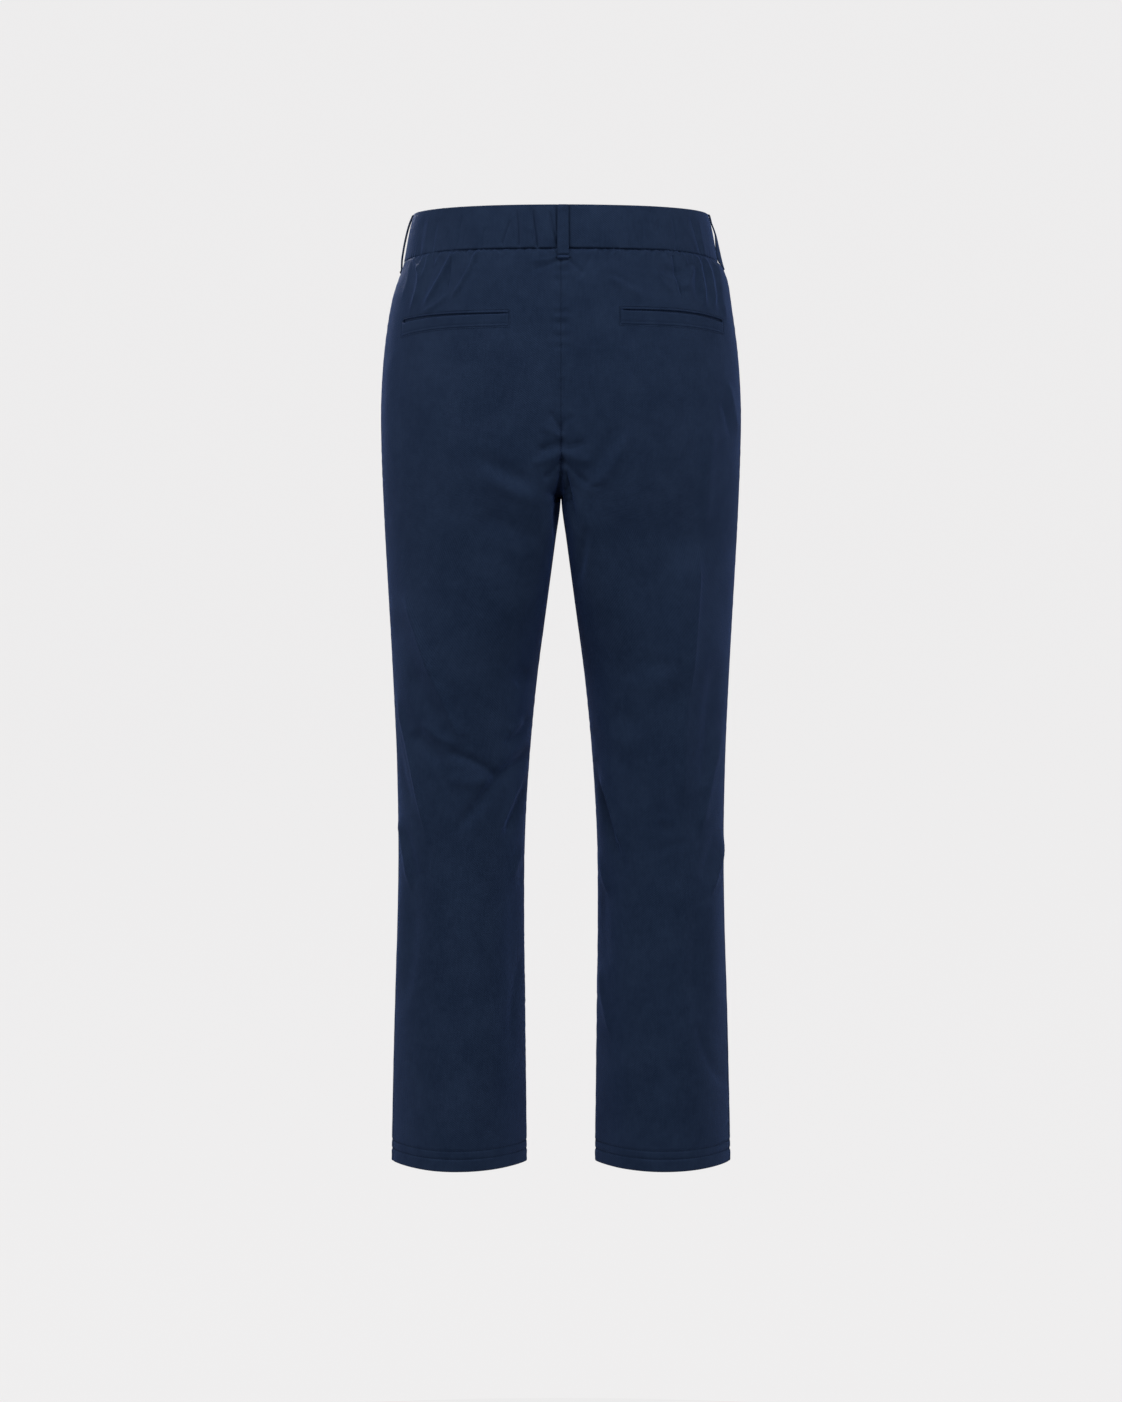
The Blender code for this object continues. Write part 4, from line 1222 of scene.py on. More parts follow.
# %% Creases pressed into the elastic band
BAND_FOLDS = folds(
    # the hollows at both sides of the centre back loop
    (40, 400, 40, 0, 40, -400, 10, -8, 12),
    (-77, 400, -77, 0, -77, -400, 10, -6, 12),
    (1350, 220, 1390, 20, 1420, -170, 24, -5, 16, "end"),
    (1225, 200, 1270, 0, 1300, -200, 20, -6, 16, "end"),
    (1310, 220, 1335, 40, 1370, -140, 22, 3, 16, "end"),
    (1150, 100, 1120, -40, 1090, -180, 18, -6, 15, "end"),
    (970, 240, 1010, 60, 1040, -120, 20, -5, 16),
    (505, 160, 540, 60, 585, -70, 16, -8, 15, "end"),
    (445, 280, 425, 100, 420, -90, 15, -10, 14, "end"),
    (285, 290, 260, 110, 235, -100, 16, -13, 14, "end"),
    (320, 100, 290, 20, 285, -80, 18, 4, 16, "end"),
    (115, 260, 80, 120, 40, -60, 16, -9, 15, "end"),
    (-965, 180, -960, 100, -940, 0, 20, -4, 16),
    (-1110, 220, -1130, 70, -1160, -130, 20, -6, 15, "end"),
    (-1290, 220, -1330, 60, -1390, -120, 20, -7, 15, "end"),
    (-1360, 180, -1400, 0, -1440, -180, 24, 5, 16, "end"),
    (-600, 100, -610, 0, -600, -100, 26, -3, 18, "end"),
    (750, 100, 770, 0, 790, -120, 26, -3, 18, "end"),
)
BAND_GATHER = 0.0006
EDGE_LINE = 0.0026  # a line of stitches under the top edge
EDGE_LINE_DIP = 0.0003
EDGE_LINE_WIDTH = 0.0007
BAND_BELLY = 0.0006  # how far the band's middle stands out
BAND_WAVES = 0.5
band_gathers = [
    (spot, rng.uniform(0.0010, 0.0022), rng.uniform(0.003, 0.009), rng.uniform(0.2, 1.0))
    for spot in np.cumsum(rng.uniform(0.003, 0.009, 80)) - GATHERED
    if spot < GATHERED
]

# %% The band's section, and a strip of it
def band_section():
    """The band's section: heights, how far in each point lies, and how much creases move it."""
    radius = BAND_WALL / 2
    low, high = WAIST_SEAM + radius, WAIST_TOP - radius
    bend = np.linspace(0.0, math.pi, BAND_ROUND + 1)[1:-1]
    face = np.linspace(low, high, BAND_FACE + 1)
    inside = np.linspace(high, low, BAND_INSIDE + 1)
    heights = np.concatenate([face, high + radius * np.sin(bend), inside, low - radius * np.sin(bend)])
    depths = np.concatenate([
        np.zeros(len(face)),
        radius * (1 - np.cos(bend)),
        np.full(len(inside), BAND_WALL),
        radius * (1 + np.cos(bend)),
    ])
    return heights, depths, np.clip(1 - depths / BAND_WALL, 0.0, 1.0)


def band_strip(name, distances, creased, step_back=0.0):
    """One closed strip of waistband between two distances round the waist."""
    heights, depths, weights = band_section()
    points, ways = waist_points(distances, heights)
    up = np.clip((heights - WAIST_SEAM) / (WAIST_TOP - WAIST_SEAM), 0, 1)
    moved = BAND_BELLY * np.sin(math.pi * up)
    moved -= EDGE_LINE_DIP * hump(heights, WAIST_TOP - EDGE_LINE, EDGE_LINE_WIDTH)
    moved = moved[:, None] + BAND_WAVES * waves(points)
    if creased:
        moved += fold_field(BAND_FOLDS, *seen(points))
        rise = (heights - WAIST_SEAM)[:, None]
        for spot, width, length, strength in band_gathers:
            moved -= BAND_GATHER * strength * hump(distances, spot, width) * hump(rise, 0.0, length)
    points = points + ways * (moved * weights[:, None] - depths[:, None] - step_back)[..., None]
    count, columns = points.shape[:2]
    faces = quads(count + 1, columns, 0, False, False)
    total = count * columns
    faces = [[corner % total for corner in face] for face in faces]
    faces.append([row * columns for row in range(count)])
    faces.append([row * columns + columns - 1 for row in reversed(range(count))])
    uv = metres(distances, (heights - depths)[:, None])
    return link_mesh(name, points.reshape(-1, 3), faces, uv.reshape(-1, 2))


# %% Back and front waistbands
OVERLAP = 0.014
UNDERLAP = 0.020
LAP_RAMP = 0.020
BAND_GAP = 0.0002
BACK_STEPS, FRONT_STEPS = 1100, 240

back_distances = np.linspace(-side_line + BAND_GAP, side_line - BAND_GAP, BACK_STEPS)
back_band = band_strip("cloth_waistband_back", back_distances, True)
keep(back_band, "waistband_back")

right_end = HALF_WAIST + OVERLAP
right_distances = -np.linspace(side_line + BAND_GAP, right_end, FRONT_STEPS)
right_band = band_strip("cloth_waistband_front_right", right_distances, False)
keep(right_band, "waistband_front_right")

left_distances = np.linspace(side_line + BAND_GAP, HALF_WAIST + UNDERLAP - OVERLAP, FRONT_STEPS)
from_front = HALF_WAIST - left_distances
lap = (BAND_WALL + BAND_GAP) * eased((OVERLAP + LAP_RAMP - from_front) / LAP_RAMP)
left_band = band_strip("cloth_waistband_front_left", left_distances, False, lap[None, :])
keep(left_band, "waistband_front_left")
print("waistbands:", [len(band.data.polygons) for band in (back_band, left_band, right_band)], "faces")

# %% [markdown]
# Inside the back, the waist seam's allowances are pressed up behind the band. One strip stands for
# them, and keeps light from coming through the seam.

# %% Waist seam
# How deep the strip lies: inside the band's fold at the sides, and behind the deep ditch at the back.
Allowance = namedtuple("Allowance", "height depth depth_back")
ALLOWANCES = (
    Allowance(0.0040, 0.0011, 0.0044),
    Allowance(0.0012, 0.0011, 0.0044),
    Allowance(-0.0001, 0.0011, 0.0044),
    Allowance(-0.0012, 0.0030, 0.0044),
    Allowance(-0.0034, 0.0040, 0.0044),
)
ROUND_SIDE = 0.030  # it runs on this far past the side seams
allowance = np.linspace(-side_line - ROUND_SIDE, side_line + ROUND_SIDE, 200)
heights = np.array([WAIST_SEAM + row.height for row in ALLOWANCES])
at_back = by_back(allowance)
depths = np.array([row.depth + (row.depth_back - row.depth) * at_back for row in ALLOWANCES])
seam_points, seam_ways = waist_points(allowance, heights)
seam_points = seam_points - seam_ways * depths[..., None]
seam_uv = metres(allowance, heights[:, None])
keep(shell("cloth_waist_seam", seam_points, seam_ways, seam_uv, SEAM_WALL, coarse=1))
print("waist seam:", round(float(allowance[-1] - allowance[0]), 4), "m long")

# %% [markdown]
# ## Belt loops
#
# Each loop is a narrow strip that is sewn into the top edge of the waistband, stands off it, and is
# folded under and bar-tacked below the seam. The ones at the sides stand off the most, so a line of
# light shows between each of them and the band.

# %% Loop shapes
# A row is a height, how far the loop stands off there, and the share of that at its rear edge.
LoopRow = namedtuple("LoopRow", "height lift rear", defaults=(1.0,))
LOOP_WIDTH = 0.0105
LOOP_WALL = 0.0011
LOOP_COLUMNS = 13
LOOP_STEPS = 150
LOOP_EDGE = 0.45  # share of its thickness that an edge loses
LOOP_SHELL = 0.9
Loop = namedtuple("Loop", "name angle rows")


def loop_rows(*rows):
    return [LoopRow(*row) for row in rows]


FLAT_LOOP = loop_rows(
    (0.0208, -0.0012), (0.0203, 0.0002), (0.0185, 0.0009), (0.0120, 0.0011), (0.0000, 0.0013),
    (-0.0120, 0.0015), (-0.0200, 0.0014), (-0.0250, 0.0010), (-0.0284, 0.0007), (-0.0297, -0.0004),
    (-0.0306, 0.0003), (-0.0315, 0.0016), (-0.0326, 0.0017), (LOOP_END + 0.0001, 0.0006),
    (LOOP_END, -0.0008),
)
# The right one is twisted, so its front edge stands off, and a little light shows behind it.
TWISTED_LOOP = loop_rows(
    (0.0208, -0.0012), (0.0203, 0.0002), (0.0170, 0.0008), (0.0120, 0.0012, 0.7),
    (0.0060, 0.0024, 0.8), (0.0010, 0.0032, 0.8), (-0.0080, 0.0040, 0.3), (-0.0160, 0.0044, 0.0),
    (-0.0220, 0.0045, 0.2), (-0.0270, 0.0043, 0.8), (-0.0292, 0.0040), (-0.0300, 0.0026),
)
STANDING_LOOP = loop_rows(
    (0.0208, -0.0012), (0.0203, 0.0002), (0.0170, 0.0012), (0.0100, 0.0024), (0.0000, 0.0032),
    (-0.0120, 0.0034), (-0.0200, 0.0028), (-0.0260, 0.0014), (-0.0300, 0.0004),
    (LOOP_END + 0.0005, 0.0003), (LOOP_END, -0.0004),
)
LOOPS = (
    Loop("belt_loop_back", -0.5, FLAT_LOOP),
    Loop("belt_loop_left", 90.0, STANDING_LOOP),
    Loop("belt_loop_right", -87.5, TWISTED_LOOP),
    Loop("belt_loop_front_left", 147.0, STANDING_LOOP),
    Loop("belt_loop_front_right", -147.0, STANDING_LOOP),
)

# %% Make the loops
def smooth_rows(rows):
    """More heights and lifts on a soft curve through a loop's rows."""
    heights = np.array([row.height for row in rows])
    lifts = np.array([row.lift for row in rows])
    reached = np.concatenate([[0.0], np.cumsum(np.hypot(np.diff(heights), np.diff(lifts)))])
    fine = np.linspace(0.0, reached[-1], LOOP_STEPS)
    return np.interp(fine, reached, heights), soft_curve(reached, lifts[:, None], fine)


def loop_place(loop):
    """A loop's signed distance round the waist, and its side: 1 is left, -1 right."""
    middle = np.interp(abs(math.radians(loop.angle)), band_angles, band_reached) - centre_back
    turn = -1.0 if loop.angle < 0 else 1.0
    return turn * middle, turn


def make_loop(loop):
    """A belt loop: a flat strip with round edges, carried down over the band and the seam."""
    heights, lifts = smooth_rows(loop.rows)
    middle, turn = loop_place(loop)
    offsets = np.sin(np.linspace(-math.pi / 2, math.pi / 2, LOOP_COLUMNS)) * LOOP_WIDTH / 2
    distances = middle + offsets
    points, ways = waist_points(distances, heights)
    edge = 1 - (np.abs(offsets) / (LOOP_WIDTH / 2)) ** 6
    row_places = [-row.height for row in loop.rows]
    rear = np.interp(-heights, row_places, [row.rear for row in loop.rows])[:, None]
    front = np.clip(turn * offsets / LOOP_WIDTH + 0.5, 0.0, 1.0)[None, :]
    rise = lifts * (rear + (1 - rear) * front) + LOOP_WALL * (1 - LOOP_EDGE + LOOP_EDGE * edge)
    outer = points + ways * rise[..., None]
    uv = metres(distances, heights[:, None])
    return shell(f"cloth_{loop.name}", outer, ways, uv, LOOP_WALL * LOOP_SHELL, coarse=1)


for loop in LOOPS:
    keep(make_loop(loop), loop.name)
print(len(LOOPS), "belt loops")

# %% [markdown]
# ## The fly
#
# On the front, which the picture doesn't show, a J-shaped flap covers the closed opening, and a shield
# lies behind it. Both are grids on the finished cloth, across the centre. The zip between the two
# can't be seen, so there is none.

# %% Flap and shield
Fly = namedtuple("Fly", "node width end lift")
FLY_LAP = 0.003
FLY_ROWS = 110
FLY_COLUMNS = 34
FLY_CURVE = 30  # of its rows, round the lower end
FLY_START = 0.0006
FLY_NEAREST = 0.0003  # to the centre seam
FLAP = Fly("fly_flap", 0.036, -0.185, CLOTH + 0.0002)
SHIELD = Fly("fly_shield", 0.030, -0.175, -CLOTH - LAYER_GAP)


def fly_reach(fly, height):
    """How far the flap reaches from the centre: its lower end is a quarter of a circle."""
    drop = np.clip((height - fly.end) / fly.width, 0.0, 1.0)
    return fly.width * np.sqrt(np.clip(1 - (1 - drop) ** 2, 0.0, 1.0))


def by_centre(distance, height, lift):
    """A point by the centre front, on the wearer's left of it over zero and on the right below."""
    half = halves["left" if distance > 0 else "right"]
    return on_cloth(half, -max(abs(distance), FLY_NEAREST), height, lift)


def make_fly(fly):
    """A flap on the cloth from the waist seam down, kept as one piece."""
    turns = np.linspace(math.pi / 2, 0.0, FLY_CURVE)
    curved = fly.end + fly.width * np.sin(turns) * 0.999 + 0.00001
    straight_rows = FLY_ROWS - FLY_CURVE
    straight = np.linspace(WAIST_SEAM - FLY_START, fly.end + fly.width, straight_rows, endpoint=False)
    heights = np.concatenate([straight, curved])
    points, ways = [], []
    for height in heights:
        reach = max(float(fly_reach(fly, height)), FLY_LAP)
        row = [by_centre(spot, height, fly.lift) for spot in np.linspace(FLY_LAP, -reach, FLY_COLUMNS)]
        points.append([point for point, way in row])
        ways.append([way for point, way in row])
    points, ways = np.array(points), np.array(ways)
    uv = points[..., [0, 2]]
    return keep(shell(f"cloth_{fly.node}", points, ways, uv, HEM_WALL, coarse=2), fly.node)


for fly in (FLAP, SHIELD):
    print(make_fly(fly).name, "reaches", fly.width, "m from the centre")

# %% [markdown]
# ## Stitches
#
# A stitch is a short thread that comes up out of the cloth, lies on it and goes down again. All
# stitches of one seam are joined in one mesh. Each is a five-sided tube with closed ends, and has
# only seventeen faces, because there are about a thousand of them.

# %% Threads
THREAD = 0.00021
THREAD_SIDES = 5
ASKEW = (0.31, 0.42, 0.85)  # a direction that no thread runs in


def thread_mesh(name, runs, radius=THREAD):
    """Short threads as one mesh. Each run is a list of points."""
    vertices, faces = [], []
    turns = np.linspace(0.0, 2 * math.pi, THREAD_SIDES, endpoint=False)
    for run in runs:
        run = np.asarray(run)
        ahead = np.gradient(run, axis=0)
        ahead /= np.linalg.norm(ahead, axis=1, keepdims=True)
        side = np.cross(ahead, ASKEW)
        side /= np.linalg.norm(side, axis=1, keepdims=True)
        up = np.cross(ahead, side)
        rings = run[:, None] + radius * (
            np.cos(turns)[None, :, None] * side[:, None] + np.sin(turns)[None, :, None] * up[:, None]
        )
        start = len(vertices)
        vertices.extend(rings.reshape(-1, 3))
        faces.extend(quads(len(run), THREAD_SIDES, start, True, True))
        faces.append(list(range(start, start + THREAD_SIDES)))
        last = start + (len(run) - 1) * THREAD_SIDES
        faces.append(list(reversed(range(last, last + THREAD_SIDES))))
    vertices = np.array(vertices)
    return link_mesh(name, vertices, faces, vertices[:, [0, 2]])


# %% Rows of stitches
# A stitch's points: shares of its length, and how far each stands off the cloth.
STITCH = ((0.10, -0.00022), (0.25, 0.00008), (0.75, 0.00008), (0.90, -0.00022))


def stitches(place, path, lift=0.0):
    """A stitch from each spot (distance, height) of a path to the next. place finds its points."""
    runs = []
    for here, there in zip(path, path[1:]):
        runs.append([place(*(here + (there - here) * share), rise + lift)[0] for share, rise in STITCH])
    return runs


def stitch_row(half, start, end, pitch):
    """Even stitches on the cloth from one spot to another."""
    count = max(1, round(float(np.linalg.norm(np.subtract(end, start))) / pitch))
    return stitches(lambda *spot: on_cloth(half, *spot), np.linspace(start, end, count + 1))


HEM_PITCH = 0.0029
HEM_START = 0.0008
for side, half in halves.items():
    runs = []
    for line in HEM_LINES:
        girth = float(half.across[-1, -1])
        line_start, line_end = (HEM_START, HEM + line), (girth - HEM_START, HEM + line)
        runs += stitch_row(half, line_start, line_end, HEM_PITCH)
    keep(thread_mesh(f"thread_hem_{side}", runs))
    print("hem", side, len(runs), "stitches round", round(girth, 4), "m")

# %% Round the pockets
POCKET_PITCH = 0.0023
POCKET_MARGIN = 0.0009
END_PITCH = 0.0017
for side, pocket in POCKETS.items():
    half = halves[side]
    length = pocket.end - pocket.start
    runs = []
    pieces = round(length / POCKET_PITCH)
    for number in range(pieces):
        share = np.array([number, number + 1]) / pieces
        top, bottom = pocket_lines(pocket, share)
        along = pocket.start + share * length
        for line in (top + LIP + POCKET_MARGIN, bottom - POCKET_MARGIN):
            runs += stitch_row(half, (along[0], line[0]), (along[1], line[1]), POCKET_PITCH)
    for along, share in ((pocket.start - POCKET_MARGIN, 0.0), (pocket.end + POCKET_MARGIN, 1.0)):
        top, bottom = pocket_lines(pocket, share)
        line_start, line_end = (along, top + LIP + POCKET_MARGIN), (along, bottom - POCKET_MARGIN)
        runs += stitch_row(half, line_start, line_end, END_PITCH)
    keep(thread_mesh(f"thread_pocket_{side}", runs))
    print("pocket", side, len(runs), "stitches")

# %% The fly's J and the loops' bar tacks
J_MARGIN = 0.004
J_START = 0.003
J_TURNS = 14
width = FLAP.width - J_MARGIN
down = np.arange(WAIST_SEAM - J_START, FLAP.end + FLAP.width, -HEM_PITCH)
turns = np.linspace(math.pi / 2, 0.0, J_TURNS)
curved = np.column_stack([-width * np.sin(turns), FLAP.end + J_MARGIN + width * (1 - np.cos(turns))])
path = np.concatenate([np.column_stack([np.full(len(down), -width), down]), curved])
runs = stitches(by_centre, path, FLAP.lift)
keep(thread_mesh("thread_fly", runs))
print("fly", len(runs), "stitches")

TACK_HEIGHT = -0.0314
TACK_WIDTH = 0.0139
TACK_THREADS = 34
TACK_THREAD = 0.00024
TACK_HEIGHTS = TACK_HEIGHT + np.array([0.0009, 0.0005, -0.0005, -0.0009])
TACK_LIFTS = np.array([-0.0004, 0.0005, 0.0005, -0.0004])
runs = []
for loop in LOOPS:
    middle, turn = loop_place(loop)
    for offset in TACK_WIDTH * (np.arange(TACK_THREADS) / (TACK_THREADS - 1) - 0.5):
        proud = LOOP_WALL if abs(offset) < LOOP_WIDTH / 2 else 0.0
        points, ways = waist_points(np.array([middle + offset]), TACK_HEIGHTS)
        runs.append(points[:, 0] + ways[:, 0] * (proud + TACK_LIFTS)[:, None])
keep(thread_mesh("thread_tacks", runs, TACK_THREAD))
print(len(LOOPS), "bar tacks")

# %% [markdown]
# ## The waist button
#
# A four-hole button closes the front waistband. It is made as it would be by hand: a disc, its face
# inset and pushed in for the dish, its edges bevelled, then four holes cut through. It is turned to
# face forward. The button on the real object opens, but stays closed here.

# %% Button
BUTTON_RADIUS = 0.0076
BUTTON_WALL = 0.0026
BUTTON_DISH = 0.0007
BUTTON_RIM = 0.0022
HOLE_RADIUS = 0.0009
HOLE_OFFSET = 0.0016
BUTTON_STAND = 0.0011
BUTTON_SIDES, HOLE_SIDES = 48, 20
BUTTON_BEVEL = 0.0005

bpy.ops.object.select_all(action="DESELECT")
bpy.ops.mesh.primitive_cylinder_add(vertices=BUTTON_SIDES, radius=BUTTON_RADIUS, depth=BUTTON_WALL)
button = bpy.context.object
button.name = button.data.name = "waist_button_face"
bpy.ops.object.mode_set(mode="EDIT")
bpy.ops.mesh.select_mode(type="FACE")
bpy.ops.mesh.select_all(action="DESELECT")
bpy.ops.object.mode_set(mode="OBJECT")
for face in button.data.polygons:
    face.select = face.normal.z > 0.9
bpy.ops.object.mode_set(mode="EDIT")
bpy.ops.mesh.inset(thickness=BUTTON_RIM, depth=0.0)
bpy.ops.mesh.inset(thickness=BUTTON_DISH, depth=-BUTTON_DISH)
bpy.ops.object.mode_set(mode="OBJECT")
bevel = button.modifiers.new("edges", "BEVEL")
bevel.width = BUTTON_BEVEL
bevel.segments = 4
bevel.limit_method = "ANGLE"
bevel.angle_limit = math.radians(25)
bpy.ops.object.modifier_apply(modifier=bevel.name)
for number in range(4):
    turn = math.pi / 4 + number * math.pi / 2
    place = (HOLE_OFFSET * math.cos(turn), HOLE_OFFSET * math.sin(turn), 0.0)
    size = {"vertices": HOLE_SIDES, "radius": HOLE_RADIUS, "depth": BUTTON_WALL * 3}
    bpy.ops.mesh.primitive_cylinder_add(location=place, **size)
    drill = bpy.context.object
    hole = button.modifiers.new("hole", "BOOLEAN")
    hole.operation = "DIFFERENCE"
    hole.object = drill
    hole.solver = "EXACT"
    bpy.context.view_layer.objects.active = button
    bpy.ops.object.modifier_apply(modifier=hole.name)
    bpy.data.objects.remove(drill)
print("button faces:", len(button.data.polygons))

# %% Turn it to face forward and sew it on
levels = np.array([BUTTON_RADIUS, 0.0, -BUTTON_RADIUS])
above, front, below = (float(depth) for depth in sections_at(levels).front[:, 0])
slope = math.atan2(below - above, 2 * BUTTON_RADIUS)
bpy.ops.object.select_all(action="DESELECT")
button.select_set(True)
bpy.context.view_layer.objects.active = button
button.rotation_euler = (math.pi / 2 - slope, 0.0, 0.0)
button.location = (0.0, -front - BUTTON_STAND - BUTTON_WALL / 2, 0.0)
bpy.ops.object.transform_apply(location=True, rotation=True, scale=True)
bpy.ops.object.shade_smooth_by_angle(angle=math.radians(35))
keep(button, "waist_button")

BUTTON_THREAD = 0.00028
face = -front - BUTTON_STAND - BUTTON_WALL
reach = HOLE_OFFSET * 0.707  # the holes lie on the diagonals
runs = []
for row in (-reach, reach):
    for strand in (-0.0003, 0.0, 0.0003):
        # one strand goes down into the hole at each end and lies on the face between
        ends = ((-reach, 0.0020), (-reach * 0.8, 0.0005), (reach * 0.8, 0.0005), (reach, 0.0020))
        runs.append([(across, face + sunk, row + strand) for across, sunk in ends])
keep(thread_mesh("thread_button", runs, BUTTON_THREAD))

# %% [markdown]
# ## Materials as formulas
#
# A material is a sum of node outputs. The class below wraps one output, so that sums are written with
# plain signs, and `node` adds any other kind: its kind, its settings, then its values or links.

# %% A wire between nodes
def fill(node, values):
    """Set a node's inputs: a wire is linked, anything else is a value."""
    for name, value in values.items():
        if isinstance(value, Wire):
            value.tree.links.new(value.socket, node.inputs[name])
        else:
            node.inputs[name].default_value = value


class Wire:
    """One output of a material's nodes."""

    def __init__(self, tree, socket=None):
        self.tree = tree
        self.socket = socket

    def node(self, kind, settings, values, output=0):
        made_node = self.tree.nodes.new(f"ShaderNode{kind}")
        for name, value in settings.items():
            setattr(made_node, name, value)
        fill(made_node, values)
        return Wire(self.tree, made_node.outputs[output])

    def math(self, operation, first, second=0.0):
        return self.node("Math", {"operation": operation}, {0: first, 1: second})

    def __add__(self, other):
        return self.math("ADD", self, other)

    def __sub__(self, other):
        return self.math("SUBTRACT", self, other)

    def __mul__(self, other):
        return self.math("MULTIPLY", self, other)

    __radd__ = __add__

    def coordinates(self, kind):
        """The piece's own coordinates, such as its UV map."""
        return self.node("TexCoord", {}, {}, kind)

    def noise(self, scale, detail=2.0, roughness=0.5):
        """Soft noise over this wire's coordinates, about 0.5 on average."""
        values = {"Vector": self, "Scale": scale, "Detail": detail, "Roughness": roughness}
        return self.node("TexNoise", {}, values)

    def stretched(self, scale, turn=0.0):
        """This wire's coordinates, turned and scaled."""
        return self.node("Mapping", {}, {"Vector": self, "Scale": scale, "Rotation": (0.0, 0.0, turn)})

    def between(self, low, high):
        """A colour from low to high, by this wire's value from 0 to 1."""
        return self.node("Mix", {"data_type": "RGBA"}, {0: self, 6: low, 7: high}, 2)

    def bump(self, strength):
        """A surface that this wire's height in metres makes rough."""
        return self.node("Bump", {}, {"Height": self, "Distance": 1.0, "Strength": strength})


def new_finish(name):
    """An empty material: its wire, and its shader's sockets."""
    material = bpy.data.materials.new(name)
    material.use_nodes = True
    tree = material.node_tree
    return material, Wire(tree), tree.nodes["Principled BSDF"]


# %% [markdown]
# ## The cloth
#
# The cloth is a fine twill. Its ridges run at a slant, 1.7 mm apart, over the piece's own UV map,
# which is in metres. Yarns are never even, so noise that is stretched along the warp and the
# weft varies them. Over that lies a soft mottle, some centimetres wide, as handled cloth has. The
# fuzz on its surface catches light at the edges, which a tinted sheen gives.

# %% Cloth
NAVY_DEEP = (0.0064, 0.0116, 0.0250, 1.0)
NAVY = (0.0116, 0.0198, 0.0400, 1.0)
TWILL = 0.0017
TWILL_TURN = math.radians(52)
TWILL_RELIEF = 0.00005
YARN_RELIEF = 0.00016
FUZZ_RELIEF = 0.00014
BLUE_GLINT = (0.22, 0.42, 1.0, 1.0)

cloth, wire, shader = new_finish("navy_twill")
uv = wire.coordinates("UV")
place = wire.coordinates("Object")
turned = uv.stretched((1.0, 1.0, 1.0), TWILL_TURN)
across_ridges = wire.node("SeparateXYZ", {}, {"Vector": turned}, "X")
ridges = wire.math("SINE", across_ridges * (2 * math.pi / TWILL))
warp = uv.stretched((1.0, 0.12, 1.0)).noise(900.0, 3.0, 0.6)
weft = uv.stretched((0.12, 1.0, 1.0)).noise(900.0, 3.0, 0.6)
streaks = uv.stretched((1.0, 0.16, 1.0), TWILL_TURN).noise(420.0, 3.0, 0.6)
fuzz = place.noise(1500.0, 2.0, 0.6)
mottle = place.noise(26.0, 3.0, 0.55)
small_mottle = place.noise(120.0, 3.0, 0.6)

tone = 0.5 + (mottle - 0.5) * 1.3 + (small_mottle - 0.5) * 0.9 + (streaks - 0.5) * 0.7 + ridges * 0.24
relief = ridges * TWILL_RELIEF + (warp + weft + streaks) * YARN_RELIEF + fuzz * FUZZ_RELIEF
fill(shader, {
    "Normal": relief.bump(0.8),
    "Base Color": tone.between(NAVY_DEEP, NAVY),
    "Roughness": 0.52 + (streaks - 0.5) * 0.3,
    "Specular IOR Level": 0.05,
    "Specular Tint": BLUE_GLINT,
    "Sheen Weight": 0.16,
    "Sheen Roughness": 0.45,
    "Sheen Tint": (0.20, 0.36, 1.0, 1.0),
})

# %% Thread and button
thread, wire, shader = new_finish("navy_thread")
place = wire.coordinates("Object")
ply = place.noise(2600.0, 2.0, 0.5)
fill(shader, {
    "Normal": (ply * 0.0001).bump(0.8),
    "Base Color": ply.between((0.0040, 0.0072, 0.0165, 1.0), (0.0068, 0.0120, 0.0255, 1.0)),
    "Roughness": 0.45 + ply * 0.2,
    "Specular IOR Level": 0.08,
    "Specular Tint": BLUE_GLINT,
})

plastic, wire, shader = new_finish("button_plastic")
place = wire.coordinates("Object")
cloud = place.noise(240.0, 3.0, 0.6)
scuffs = place.noise(1800.0, 2.0, 0.7)
fill(shader, {
    "Normal": (scuffs * 0.00004).bump(0.5),
    "Base Color": cloud.between((0.0070, 0.0120, 0.0280, 1.0), (0.0140, 0.0230, 0.0480, 1.0)),
    "Roughness": 0.26 + scuffs * 0.22,
})

for piece in made:
    finish = plastic if piece is button else thread if piece.name.startswith("thread") else cloth
    piece.data.materials.append(finish)
print(len(made), "pieces:", sum(len(piece.data.polygons) for piece in made), "faces")

# %% [markdown]
# ## The waist seam droops towards the sides
#
# In the picture the waist seam runs level over the seat and droops by half a centimetre where it
# turns to the sides. All the cloth near it is moved down together, so nothing comes apart.

# %% Droop
SINK = 0.0050
SINK_FROM, SINK_TO = 0.100, 0.155
SINK_REACH = 0.022
for piece in made:
    spots = np.empty(len(piece.data.vertices) * 3)
    piece.data.vertices.foreach_get("co", spots)
    spots = spots.reshape(-1, 3)
    outwards = np.maximum(np.abs(spots[:, 0]) - SINK_FROM, 0.0) / (SINK_TO - SINK_FROM)
    spots[:, 2] -= SINK * outwards**2 * np.exp(-(((spots[:, 2] - WAIST_SEAM) / SINK_REACH) ** 2))
    piece.data.vertices.foreach_set("co", spots.ravel())
    piece.data.update()
print("the waist seam droops by", SINK, "m at", SINK_TO, "m from the centre")
